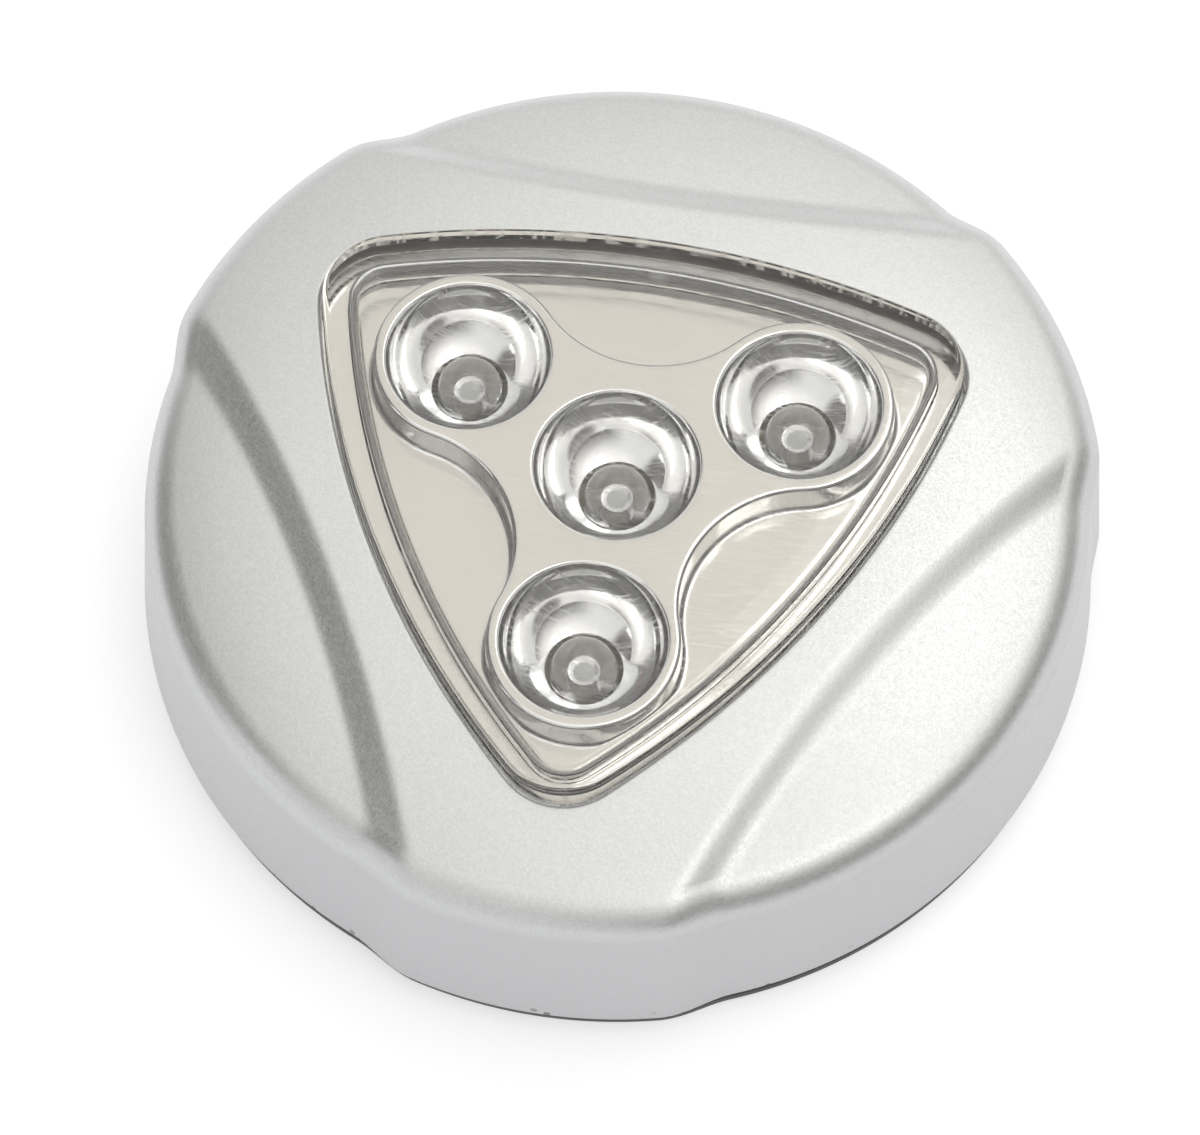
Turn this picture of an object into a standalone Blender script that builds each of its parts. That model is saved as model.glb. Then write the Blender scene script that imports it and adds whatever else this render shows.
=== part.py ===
"""Battery cabinet light: a press-on puck light with four LEDs behind a rounded-triangle lens.

Frame: the origin is on the light's axis, on the back face that is stuck to the cabinet. +Z points
out of the cabinet, towards the lens. The three raised lobes point to -90, 30 and 150 degrees.
Blender 4.5. Lengths are in metres.
"""

import math

import bmesh
import bpy
from mathutils import Vector

MM = 0.001

# Directions round the axis
LOBE_ANGLES = [math.radians(a) for a in (30, 150, 270)]
SIDE_ANGLES = [math.radians(a) for a in (90, 210, 330)]
THIRD = math.tau / 3

# Clearances
SEAT_GAP = 0.15 * MM
RUN_GAP = 0.3 * MM
OVERRUN = 1.0 * MM
SINK = 0.4 * MM

# How far the cover is pressed in
PRESS_TRAVEL = 1.1 * MM

# Adhesive pad on the back
PAD_RADIUS = 19.0 * MM
PAD_THICKNESS = 1.0 * MM
PAD_PROUD = 0.7 * MM

# Front cover
COVER_LOBE_RISE = 1.0 * MM
COVER_DRAFT = 1.0 * MM
COVER_WALL = 1.5 * MM
COVER_FILLET = 3.3 * MM
COVER_DROP = 1.9 * MM
COVER_EDGE_CLEARANCE = 0.2 * MM
DOME_POWER = 4.5
LOBE_HALF_ANGLE = math.radians(18.8)
LOBE_BLEND_ANGLE = math.radians(4.3)
STEP_DEPTH = 0.95 * MM
STEP_WIDTH = 2.8 * MM
STEP_GAP = 4.7 * MM
STEP_END_INSET = 2.5 * MM
STEP_END_ANGLE = math.radians(41)

# Lens
LENS_MARGIN = 4.55 * MM
LENS_BULGE = 71.9 * MM
LENS_CORNER = 5.1 * MM
LENS_WALL = 2.0 * MM
LENS_TOP = 1.5 * MM
LENS_ROUND = 0.8 * MM
LENS_PROUD = 1.0 * MM
LENS_GAP = 0.2 * MM
LENS_FLANGE = 0.8 * MM
LENS_FLANGE_THICKNESS = 0.8 * MM

# Reflector
MIRROR_MARGIN = 1.2 * MM
MIRROR_PLATE = 0.9 * MM
MIRROR_WALL = 0.8 * MM
MIRROR_STEP = 2.8 * MM
MIRROR_STOP_GAP = 0.25 * MM
CUP_RADIUS = 6.2 * MM
CUP_CIRCLE = 14.5 * MM
CUP_DEPTH = 5.1 * MM
TREFOIL_RADIUS = 7.3 * MM
TREFOIL_WAIST = 8.9 * MM
POST_RADIUS = 1.6 * MM
POST_LENGTH = 0.85 * MM

# Pins on the cover that hold the reflector, with heads melted over
STAKE_RADIUS = 0.8 * MM
STAKE_HEAD_RADIUS = 1.4 * MM
STAKE_HEAD = 0.7 * MM
STAKE_EAR_RADIUS = 2.1 * MM
STAKE_EAR = 0.7 * MM

# Cells
CELL_RADIUS = 5.25 * MM
CELL_LENGTH = 43.5 * MM
CELL_NUB = 1.0 * MM
CELL_NUB_RADIUS = 1.9 * MM
CELL_CRIMP = 0.5 * MM
CELL_SHIFT = 0.25 * MM
CELL_CORNER_GAP = 0.69 * MM
CELL_FLOOR_GAP = 0.4 * MM
CELL_WALL_GAP = 0.6 * MM

# Contacts
CONTACT_THICKNESS = 0.3 * MM
CONTACT_HEIGHT_SHARE = 0.62
CONTACT_WIDTH_SHARE = 0.57
CONTACT_WALL_GAP = 0.2 * MM
CONTACT_RIB = 1.0 * MM
CONTACT_WIRE_RADIUS = 0.25 * MM
CONTACT_SPRING_LENGTH = 2.55 * MM
CONTACT_SPRING_NARROW = 1.7 * MM
CONTACT_TURNS = 3
TERMINAL_TAB = 0.5 * MM

# Inner housing
HOUSING_GAP = 0.8 * MM
HOUSING_WALL = 1.1 * MM
CEILING = 0.8 * MM
WELL_WALL = 0.9 * MM
WELL_CORNER = 2.5 * MM
WELL_FLOOR = 1.0 * MM
WELL_LIFT = 0.9 * MM

# Back plate and its bayonet
RIM_INSET = 0.4 * MM
RIM_LOBE_RISE = 0.8 * MM
RIM_THICKNESS = 0.9 * MM
PLATE_THICKNESS = 1.4 * MM
LUG_GRIP = 1.1 * MM
LUG_WALL = 1.2 * MM
LUG_INSET = 0.15 * MM
LUG_STEM_ANGLE = math.radians(7)
LUG_LIP = 0.95 * MM
LUG_HALF_ANGLE = math.radians(8)
LEDGE_THICKNESS = 1.1 * MM
LEDGE_GAP = 0.2 * MM
STOP_GAP_ANGLE = math.radians(0.6)
STOP_ANGLE = math.radians(1.8)

# Guides of the floating cover: cup, boss, spring and shoulder screw
GUIDE_WALL = 1.0 * MM
GUIDE_BORE = 3.3 * MM
GUIDE_SIDE_GAP = 0.2 * MM
GUIDE_SHELF = 1.2 * MM
GUIDE_BOSS_RADIUS = 2.2 * MM
GUIDE_COLLAR_RADIUS = 3.2 * MM
GUIDE_COLLAR_GAP = 0.65 * MM
GUIDE_HEAD_RADIUS = 2.2 * MM
GUIDE_HEAD = 1.2 * MM
GUIDE_HEAD_CLEARANCE = 0.25 * MM
GUIDE_SHANK_RADIUS = 1.1 * MM
GUIDE_SHANK_GRIP = 4.0 * MM
GUIDE_BOSS_CLEARANCE = 0.4 * MM
SPRING_WIRE_RADIUS = 0.22 * MM
SPRING_TURNS = 5

# LED board
BOARD_THICKNESS = 1.2 * MM
BOARD_STANDOFF = 2.2 * MM
BOARD_CORNER = 1.4 * MM
BOARD_EDGE = 1.9 * MM
BOARD_BOSS_RADIUS = 1.9 * MM
BOARD_SCREW_GAP = 0.45 * MM
BOARD_SCREW_RADIUS = 0.8 * MM
BOARD_SCREW_HEAD_RADIUS = 1.75 * MM
BOARD_SCREW_HEAD = 1.0 * MM
SCREW_SLOT = 0.5 * MM
SLOT_LENGTH_SHARE = 0.6

# LEDs
LED_RADIUS = 2.5 * MM
LED_FLANGE_RADIUS = 2.9 * MM
LED_FLANGE = 1.0 * MM
LED_HEIGHT = 8.6 * MM
LED_HOLE_GAP = 0.4 * MM
LED_LEAD = 0.5 * MM
LED_LEAD_SPACING = 2.54 * MM
LED_LEAD_TAIL = 0.8 * MM
LEAD_HOLE_RADIUS = 0.55 * MM

# Switch
SWITCH_SIZE = 5.8 * MM
SWITCH_HEIGHT = 5.0 * MM
SWITCH_EDGE = 0.2 * MM
SWITCH_PLUNGER_RADIUS = 1.4 * MM
SWITCH_PLUNGER_ROOT = 2.9 * MM

# Resistors
RESISTOR_RADIUS = 0.9 * MM
RESISTOR_LENGTH = 3.4 * MM
RESISTOR_PITCH = 6.0 * MM
RESISTOR_WAIST_SHARE = 0.85
RESISTOR_LEAD_RADIUS = 0.3 * MM
RESISTOR_LEG_RADIUS = 0.25 * MM
RESISTOR_LIFT = 0.4 * MM
RESISTOR_GAP = 1.6 * MM
RESISTOR_BACK = 3.5 * MM

# Wires from the end contacts to the board
WIRE_RADIUS = 0.6 * MM
WIRE_NOTCH_HALF_WIDTH = 2.5 * MM
WIRE_NOTCH_LENGTH = 4.8 * MM
WIRE_NOTCH_HEIGHT = 3.2 * MM
WIRE_HOLE_RADIUS = 0.5 * MM
WIRE_START_GAP = 0.5 * MM
WIRE_START_LIFT = 0.75 * MM
WIRE_LANE = 1.15 * MM
WIRE_END_BACK = 2.5 * MM
WIRE_END_SIDE = 4.8 * MM
WIRE_STEPS = 3

# Route of a wire from the notch to its hole in the board, as shares of the way inwards, sideways and down
WIRE_SHARES = [(0, 0, 0), (0.32, 0.36, 0.2), (0.63, 0.77, 0.45), (0.9, 0.95, 0.69), (1, 1, 1)]

# Facets
ROUND_STEPS = 24
LED_STEPS = 16
SMALL_STEPS = 12
HOLE_STEPS = 8
PLATE_STEPS = 48
OUTLINE_DEGREES = (0, 2.6, 5.2, 7.7, 12, 15.5, 18.8, 22.1, 26, 33, 40, 46.5, 53, 60)
OUTLINE_ANGLES = [math.radians(a) for a in OUTLINE_DEGREES]
SHARP_ANGLE = math.radians(35)
TREFOIL_STEPS = 12
ARC_STEPS = 5
COVER_ROWS = 8
FILLET_ROWS = 4
BOWL_ROWS = 5
COIL_STEPS = 8
DOME_ANGLES = [math.radians(a) for a in (0, 22, 45, 68, 90)]
MERGE = 0.01 * MM

# Heights that follow from the sizes above
PLATE_LOW = PAD_PROUD
RIM_TOP = PLATE_LOW + RIM_THICKNESS
PLATE_TOP = PLATE_LOW + PLATE_THICKNESS
COVER_EDGE = RIM_TOP + PRESS_TRAVEL + COVER_EDGE_CLEARANCE
HOUSING_LOW = RIM_TOP + SEAT_GAP
CELL_HEIGHT = PLATE_TOP + CELL_FLOOR_GAP + CELL_RADIUS
CEILING_LOW = CELL_HEIGHT + CELL_RADIUS + SEAT_GAP
HOUSING_TOP = CEILING_LOW + CEILING
MIRROR_LOW = HOUSING_TOP + PRESS_TRAVEL + MIRROR_STOP_GAP
ISLAND_TOP = MIRROR_LOW + MIRROR_PLATE
PLATEAU_TOP = ISLAND_TOP + MIRROR_STEP
LENS_LOW = ISLAND_TOP + SEAT_GAP
LENS_UNDER = PLATEAU_TOP + RUN_GAP
LENS_HIGH = LENS_UNDER + LENS_TOP
DOME_TOP = LENS_HIGH - LENS_PROUD
WELL_LOW = PLATE_TOP + WELL_LIFT
WELL_DEEP = WELL_LOW + WELL_FLOOR
BOARD_LOW = WELL_DEEP + BOARD_STANDOFF
BOARD_TOP = BOARD_LOW + BOARD_THICKNESS
LED_LOW = BOARD_TOP + SEAT_GAP
CUP_LOW = PLATEAU_TOP - CUP_DEPTH
CUP_LIP = CUP_LOW - MIRROR_WALL
POST_LOW = MIRROR_LOW - POST_LENGTH
PLUNGER_TOP = POST_LOW - SEAT_GAP
SWITCH_LOW = BOARD_TOP + SEAT_GAP
SWITCH_TOP = SWITCH_LOW + SWITCH_HEIGHT
LIP_LOW = HOUSING_LOW + LEDGE_THICKNESS + LEDGE_GAP
LUG_TOP = LIP_LOW + LUG_LIP
GUIDE_HEAD_LOW = LUG_TOP + GUIDE_HEAD_CLEARANCE + PRESS_TRAVEL
GUIDE_HEAD_TOP = GUIDE_HEAD_LOW + GUIDE_HEAD
SHELF_LOW = GUIDE_HEAD_TOP + SEAT_GAP
SHELF_TOP = SHELF_LOW + GUIDE_SHELF
GUIDE_BOSS_LOW = SHELF_TOP + PRESS_TRAVEL + GUIDE_BOSS_CLEARANCE
GUIDE_SCREW_TOP = GUIDE_BOSS_LOW + GUIDE_SHANK_GRIP
COLLAR_LOW = HOUSING_TOP + PRESS_TRAVEL + GUIDE_COLLAR_GAP
BOARD_BOSS_TOP = BOARD_LOW - SEAT_GAP

# Distances from the axis that follow: the LEDs set the board and its well, these and the cells' length
# set the place of the cells, and the cells, their contacts and the guides set the housing and the cover
BOARD_SCREW_CIRCLE = CUP_CIRCLE + LED_FLANGE_RADIUS + BOARD_SCREW_GAP + BOARD_SCREW_HEAD_RADIUS
BOARD_SIDE = BOARD_SCREW_CIRCLE / 2 + BOARD_EDGE
WELL_INNER = BOARD_SIDE + RUN_GAP
WELL_SIDE = WELL_INNER + WELL_WALL
CELL_END = CELL_LENGTH / 2 + CELL_SHIFT
CELL_INNER_SIDE = (CELL_END / 2 + CELL_CORNER_GAP) / math.sin(math.tau / 6)
CELL_OFFSET = max(WELL_SIDE + CELL_WALL_GAP, CELL_INNER_SIDE) + CELL_RADIUS
CONTACT_HEIGHT = 2 * CELL_RADIUS * CONTACT_HEIGHT_SHARE
CONTACT_HALF_WIDTH = CELL_RADIUS * CONTACT_WIDTH_SHARE
CONTACT_SPRING_WIDE = CONTACT_HALF_WIDTH
CONTACT_PLUS = CELL_END + CELL_NUB + SEAT_GAP
CONTACT_MINUS = CELL_LENGTH / 2 - CELL_SHIFT + CONTACT_SPRING_LENGTH + 2 * SEAT_GAP
CONTACT_REACH = math.hypot(CELL_OFFSET + CONTACT_HALF_WIDTH, CONTACT_MINUS + CONTACT_THICKNESS)
GUIDE_OUTER = GUIDE_BORE + GUIDE_WALL
GUIDE_CIRCLE = CELL_OFFSET + CELL_RADIUS + RUN_GAP + GUIDE_OUTER
HOUSING_INNER = max(GUIDE_CIRCLE + GUIDE_BORE + GUIDE_SIDE_GAP,
                    CONTACT_REACH + CONTACT_WALL_GAP - COVER_LOBE_RISE)
HOUSING_RADIUS = HOUSING_INNER + HOUSING_WALL
COVER_SIDE_RADIUS = HOUSING_RADIUS + HOUSING_GAP + COVER_WALL + COVER_DRAFT
COVER_RIM = COVER_SIDE_RADIUS + COVER_LOBE_RISE - COVER_DRAFT - COVER_FILLET
LIP_RADIUS = HOUSING_INNER - RUN_GAP
LEDGE_RADIUS = LIP_RADIUS - LUG_GRIP
LUG_RADIUS = LEDGE_RADIUS - RUN_GAP
LENS_SIDE = CUP_CIRCLE / 2 + TREFOIL_RADIUS + LENS_MARGIN
STAKE_CIRCLE = LENS_SIDE + LENS_FLANGE + RUN_GAP + STAKE_RADIUS
STEP_MIDDLE_RADIUS = LENS_SIDE + STEP_GAP
STEP_END_RADIUS = COVER_SIDE_RADIUS - STEP_END_INSET
CUP_HOLE = LED_RADIUS + LED_HOLE_GAP
CUP_FALL = CUP_DEPTH / math.sqrt(1 - (CUP_HOLE / CUP_RADIUS) ** 2)
SWITCH_OFFSET = BOARD_SIDE - SWITCH_EDGE - SWITCH_SIZE / 2
RESISTOR_X = LED_FLANGE_RADIUS + RESISTOR_GAP + RESISTOR_RADIUS
WIRE_END = CUP_CIRCLE - WIRE_END_BACK

# The notch through the well's corner that the wires pass
NOTCH_REACH = 2 * (WELL_SIDE - WELL_CORNER) + WELL_CORNER + RUN_GAP
NOTCH_HIGH = CEILING_LOW - RUN_GAP
NOTCH_LOW = NOTCH_HIGH - WIRE_NOTCH_HEIGHT


# Scene and objects

def clear_scene():
    for item in list(bpy.data.objects):
        bpy.data.objects.remove(item, do_unlink=True)


def new_collection(name):
    collection = bpy.data.collections.new(name)
    bpy.context.scene.collection.children.link(collection)
    return collection


def make_material(name, colour, roughness, metallic=0.0, transmission=0.0):
    made = bpy.data.materials.new(name)
    made.use_nodes = True
    made.diffuse_color = (*colour, 1)
    shader = made.node_tree.nodes["Principled BSDF"]
    shader.inputs["Base Color"].default_value = (*colour, 1)
    shader.inputs["Roughness"].default_value = roughness
    shader.inputs["Metallic"].default_value = metallic
    shader.inputs["Transmission Weight"].default_value = transmission
    return made


def link_object(name, data, look=None):
    """Puts a mesh or curve in the light's collection; without a look it is a tool."""
    made = bpy.data.objects.new(name, data)
    if look is None:
        TOOLS.objects.link(made)
        made.hide_render = True
        made.display_type = "WIRE"
    else:
        LIGHT.objects.link(made)
        data.materials.append(look)
    return made


def from_bmesh(name, shape, look=None, open_skin=False):
    if not open_skin:
        bmesh.ops.recalc_face_normals(shape, faces=shape.faces)
    mesh = bpy.data.meshes.new(name)
    shape.to_mesh(mesh)
    shape.free()
    return link_object(name, mesh, look)


def shading_by_angle():
    """A node group that shades smooth and keeps every edge over an angle sharp."""
    tree = bpy.data.node_groups.new("shading_by_angle", "GeometryNodeTree")
    tree.interface.new_socket("Geometry", in_out="INPUT", socket_type="NodeSocketGeometry")
    tree.interface.new_socket("Geometry", in_out="OUTPUT", socket_type="NodeSocketGeometry")
    start = tree.nodes.new("NodeGroupInput")
    faces = tree.nodes.new("GeometryNodeSetShadeSmooth")
    edges = tree.nodes.new("GeometryNodeSetShadeSmooth")
    edges.domain = "EDGE"
    angle = tree.nodes.new("GeometryNodeInputMeshEdgeAngle")
    gentle = tree.nodes.new("FunctionNodeCompare")
    gentle.operation = "LESS_THAN"
    gentle.inputs[1].default_value = SHARP_ANGLE
    end = tree.nodes.new("NodeGroupOutput")
    tree.links.new(start.outputs[0], faces.inputs["Geometry"])
    tree.links.new(faces.outputs["Geometry"], edges.inputs["Geometry"])
    tree.links.new(angle.outputs["Unsigned Angle"], gentle.inputs[0])
    tree.links.new(gentle.outputs[0], edges.inputs["Shade Smooth"])
    tree.links.new(edges.outputs["Geometry"], end.inputs[0])
    return tree


def turn(made, angle):
    """Turns a piece about the light's axis to its direction."""
    made.rotation_euler.z = angle
    return made


def combine(target, tool, operation):
    step = target.modifiers.new(tool.name, "BOOLEAN")
    step.operation = operation
    step.object = tool
    step.solver = "EXACT"


def add(target, tool):
    combine(target, tool, "UNION")


def cut(target, tool):
    combine(target, tool, "DIFFERENCE")


# Outlines, as lists of points in plan

def at_angle(distance, angle):
    return (distance * math.cos(angle), distance * math.sin(angle))


def smooth_step(value):
    value = min(max(value, 0.0), 1.0)
    return value * value * (3 - 2 * value)


def wrap(angle, period):
    return (angle + period / 2) % period - period / 2


def lobed_radius(angle, side_radius, rise):
    """Radius of the cover's outline: low sides, and three lobes that stand out."""
    away = abs(wrap(angle - LOBE_ANGLES[0], THIRD))
    share = (LOBE_HALF_ANGLE + LOBE_BLEND_ANGLE - away) / (2 * LOBE_BLEND_ANGLE)
    return side_radius + rise * smooth_step(share)


def outline_angles():
    """Directions round the axis, closest together at the lens corners and at the lobes' ends."""
    angles = []
    for lobe in LOBE_ANGLES:
        angles += [lobe - away for away in OUTLINE_ANGLES[-2:0:-1]]
        angles += [lobe + away for away in OUTLINE_ANGLES]
    return angles


def lobed_outline(side_radius, rise):
    return [at_angle(lobed_radius(a, side_radius, rise), a) for a in outline_angles()]


def ray_to_circle(distance, radius, away):
    """Far crossing of a ray from the axis with a circle centred at this distance."""
    return distance * math.cos(away) + math.sqrt(radius ** 2 - (distance * math.sin(away)) ** 2)


def lens_radius(angle, offset):
    """Radius of the lens, a rounded triangle with bulging sides and its corners at the lobes."""
    side = LENS_SIDE + offset
    bulge = LENS_BULGE + offset
    corner = LENS_CORNER + offset
    behind = side - bulge
    half = behind * math.cos(math.pi / 3)
    reach = half + math.sqrt(half ** 2 - behind ** 2 + (bulge - corner) ** 2)
    slope = math.atan2(reach * math.sin(math.pi / 3), reach * math.cos(math.pi / 3) - behind)
    touch_x = behind + bulge * math.cos(slope)
    touch_y = bulge * math.sin(slope)
    away = abs(wrap(angle - SIDE_ANGLES[0], THIRD))
    if away <= math.atan2(touch_y, touch_x):
        return ray_to_circle(behind, bulge, away)
    return ray_to_circle(reach, corner, math.pi / 3 - away)


def lens_outline(offset):
    """The lens outline, grown by an offset."""
    return [at_angle(lens_radius(a, offset), a) for a in outline_angles()]


def arc_points(centre, radius, start, end, steps):
    points = []
    for i in range(steps + 1):
        angle = start + (end - start) * i / steps
        points.append((centre[0] + radius * math.cos(angle), centre[1] + radius * math.sin(angle)))
    return points


def straight_triangle(side, corner):
    """A triangle with straight sides and round corners, the corners at the lobes."""
    reach = 2 * (side - corner)
    points = []
    for angle in LOBE_ANGLES:
        centre = at_angle(reach, angle)
        points += arc_points(centre, corner, angle - math.pi / 3, angle + math.pi / 3, ARC_STEPS)
    return points


def trefoil_outline(inset):
    """Three discs round the outer bowls, joined by hollow arcs."""
    disc = TREFOIL_RADIUS - inset
    waist = TREFOIL_WAIST - inset
    gain = CUP_CIRCLE ** 2 + waist ** 2 - CUP_CIRCLE * waist - disc ** 2
    hollow = gain / (2 * disc - 2 * waist + CUP_CIRCLE)
    far = waist + hollow
    sixth = math.tau / 6
    spread = math.atan2(far * math.sin(sixth), far * math.cos(sixth) - CUP_CIRCLE)
    swing = spread - sixth
    points = []
    for angle in LOBE_ANGLES:
        centre = at_angle(CUP_CIRCLE, angle)
        points += arc_points(centre, disc, angle - spread, angle + spread, TREFOIL_STEPS)
        inwards = angle + sixth + math.pi
        middle = at_angle(-far, inwards)
        points += arc_points(middle, hollow, inwards + swing, inwards - swing, TREFOIL_STEPS // 2)[1:-1]
    return points


def sector_outline(inner, outer, angle, half):
    outside = arc_points((0, 0), outer, angle - half, angle + half, ARC_STEPS)
    return outside + arc_points((0, 0), inner, angle + half, angle - half, ARC_STEPS)


def strip_outline(points, thickness):
    """A bent strip of sheet, seen on its edge."""
    lines = [Vector(p) for p in points]
    left = []
    right = []
    for i, point in enumerate(lines):
        before = (point - lines[i - 1]).normalized() if i else None
        after = (lines[i + 1] - point).normalized() if i + 1 < len(lines) else None
        along = ((before or after) + (after or before)).normalized()
        normal = Vector((-along.y, along.x))
        stretch = 1 / abs(along.dot(after or before))
        left.append(point + normal * thickness / 2 * stretch)
        right.append(point - normal * thickness / 2 * stretch)
    return [tuple(p) for p in left + right[::-1]]


# Solids

def prism(name, outline, low, high, look=None, round_top=0):
    """An outline raised from low to high, with its top edge rounded on demand."""
    shape = bmesh.new()
    corners = [shape.verts.new((x, y, low)) for x, y in outline]
    floor = shape.faces.new(corners)
    grown = bmesh.ops.extrude_face_region(shape, geom=[floor])
    raised = [item for item in grown["geom"] if isinstance(item, bmesh.types.BMVert)]
    bmesh.ops.translate(shape, verts=raised, vec=(0, 0, high - low))
    if round_top:
        edge = [e for e in shape.edges if all(v in raised for v in e.verts)]
        bmesh.ops.bevel(shape, geom=edge, offset=round_top, segments=3, profile=0.5, affect="EDGES")
    return from_bmesh(name, shape, look)


def cylinders(name, places, radius, low, high, look=None, steps=SMALL_STEPS):
    """Upright cylinders of one size, one at each place in plan."""
    shape = bmesh.new()
    for x, y in places:
        made = bmesh.ops.create_cone(shape, cap_ends=True, segments=steps, radius1=radius,
                                     radius2=radius, depth=high - low)
        bmesh.ops.translate(shape, verts=made["verts"], vec=(x, y, (low + high) / 2))
    return from_bmesh(name, shape, look)


def box(name, low_corner, high_corner, look=None):
    low_corner = Vector(low_corner)
    high_corner = Vector(high_corner)
    shape = bmesh.new()
    bmesh.ops.create_cube(shape, size=1)
    bmesh.ops.scale(shape, verts=shape.verts, vec=high_corner - low_corner)
    bmesh.ops.translate(shape, verts=shape.verts, vec=(low_corner + high_corner) / 2)
    return from_bmesh(name, shape, look)


def turned(name, profile, look=None, place=(0, 0), steps=ROUND_STEPS):
    """A profile of (radius, height) points, from top to bottom, turned about Z."""
    mesh = bpy.data.meshes.new(name)
    points = [(radius, 0, height) for radius, height in profile]
    mesh.from_pydata(points, [(i, i + 1) for i in range(len(points) - 1)], [])
    made = link_object(name, mesh, look)
    made.location = (*place, 0)
    screw = made.modifiers.new("turn", "SCREW")
    screw.steps = steps
    screw.render_steps = steps
    screw.use_merge_vertices = True
    screw.merge_threshold = MERGE
    return made


def tube(name, points, radius, look):
    data = bpy.data.curves.new(name, "CURVE")
    data.dimensions = "3D"
    data.bevel_depth = radius
    data.bevel_resolution = 1
    data.use_fill_caps = True
    line = data.splines.new("POLY")
    line.points.add(len(points) - 1)
    for knot, point in zip(line.points, points):
        knot.co = (*point, 1)
    return link_object(name, data, look)


def coil(name, low, high, low_radius, high_radius, turns, wire, look):
    """A helix about Z between two heights, its radius changing evenly."""
    count = turns * COIL_STEPS
    points = []
    for i in range(count + 1):
        share = i / count
        radius = low_radius + (high_radius - low_radius) * share
        points.append((*at_angle(radius, math.tau * turns * share), low + (high - low) * share))
    return tube(name, points, wire, look)


def smooth_route(points, steps):
    """A rounded line through the points of a wire's route."""
    knots = [Vector(p) for p in points]
    knots = [2 * knots[0] - knots[1]] + knots + [2 * knots[-1] - knots[-2]]
    line = []
    for before, here, there, after in zip(knots, knots[1:], knots[2:], knots[3:]):
        for i in range(steps):
            t = i / steps
            pull = (there - before) * t
            bend = (2 * before - 5 * here + 4 * there - after) * t ** 2
            turn_in = (3 * here - before - 3 * there + after) * t ** 3
            line.append(here + (pull + bend + turn_in) / 2)
    return line + [knots[-2]]


def at_all(distance, angles):
    return [at_angle(distance, angle) for angle in angles]


def move(made, place):
    made.location = (*place, 0)
    return made


# Back: adhesive pad and back plate

def foam_pad():
    return cylinders("foam_pad", [(0, 0)], PAD_RADIUS, 0, PAD_THICKNESS, FOAM, PLATE_STEPS)


def base_plate():
    """A lobed plate with three hooked lugs that hold the housing like a bayonet."""
    outline = lobed_outline(COVER_SIDE_RADIUS - RIM_INSET, RIM_LOBE_RISE)
    plate = prism("base_plate", outline, PLATE_LOW, RIM_TOP, DARK_GREY)
    middle = (PLATE_LOW + RIM_TOP) / 2
    add(plate, cylinders("plate_disc", [(0, 0)], LUG_RADIUS, middle, PLATE_TOP, steps=PLATE_STEPS))
    stem_outer = LUG_RADIUS - LUG_INSET
    for number, angle in enumerate(SIDE_ANGLES, 1):
        stem = sector_outline(stem_outer - LUG_WALL, stem_outer, angle, LUG_STEM_ANGLE)
        lip = sector_outline(stem_outer - LUG_WALL / 2, LIP_RADIUS, angle, LUG_HALF_ANGLE)
        add(plate, prism(f"lug_stem_{number}", stem, middle, LIP_LOW + LUG_LIP / 2))
        add(plate, prism(f"lug_lip_{number}", lip, LIP_LOW, LUG_TOP))
    pocket = cylinders("pad_pocket", [(0, 0)], PAD_RADIUS + SEAT_GAP, PLATE_LOW - OVERRUN,
                       PAD_THICKNESS + SEAT_GAP, steps=PLATE_STEPS)
    cut(plate, pocket)
    return plate


# Inner housing

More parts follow.
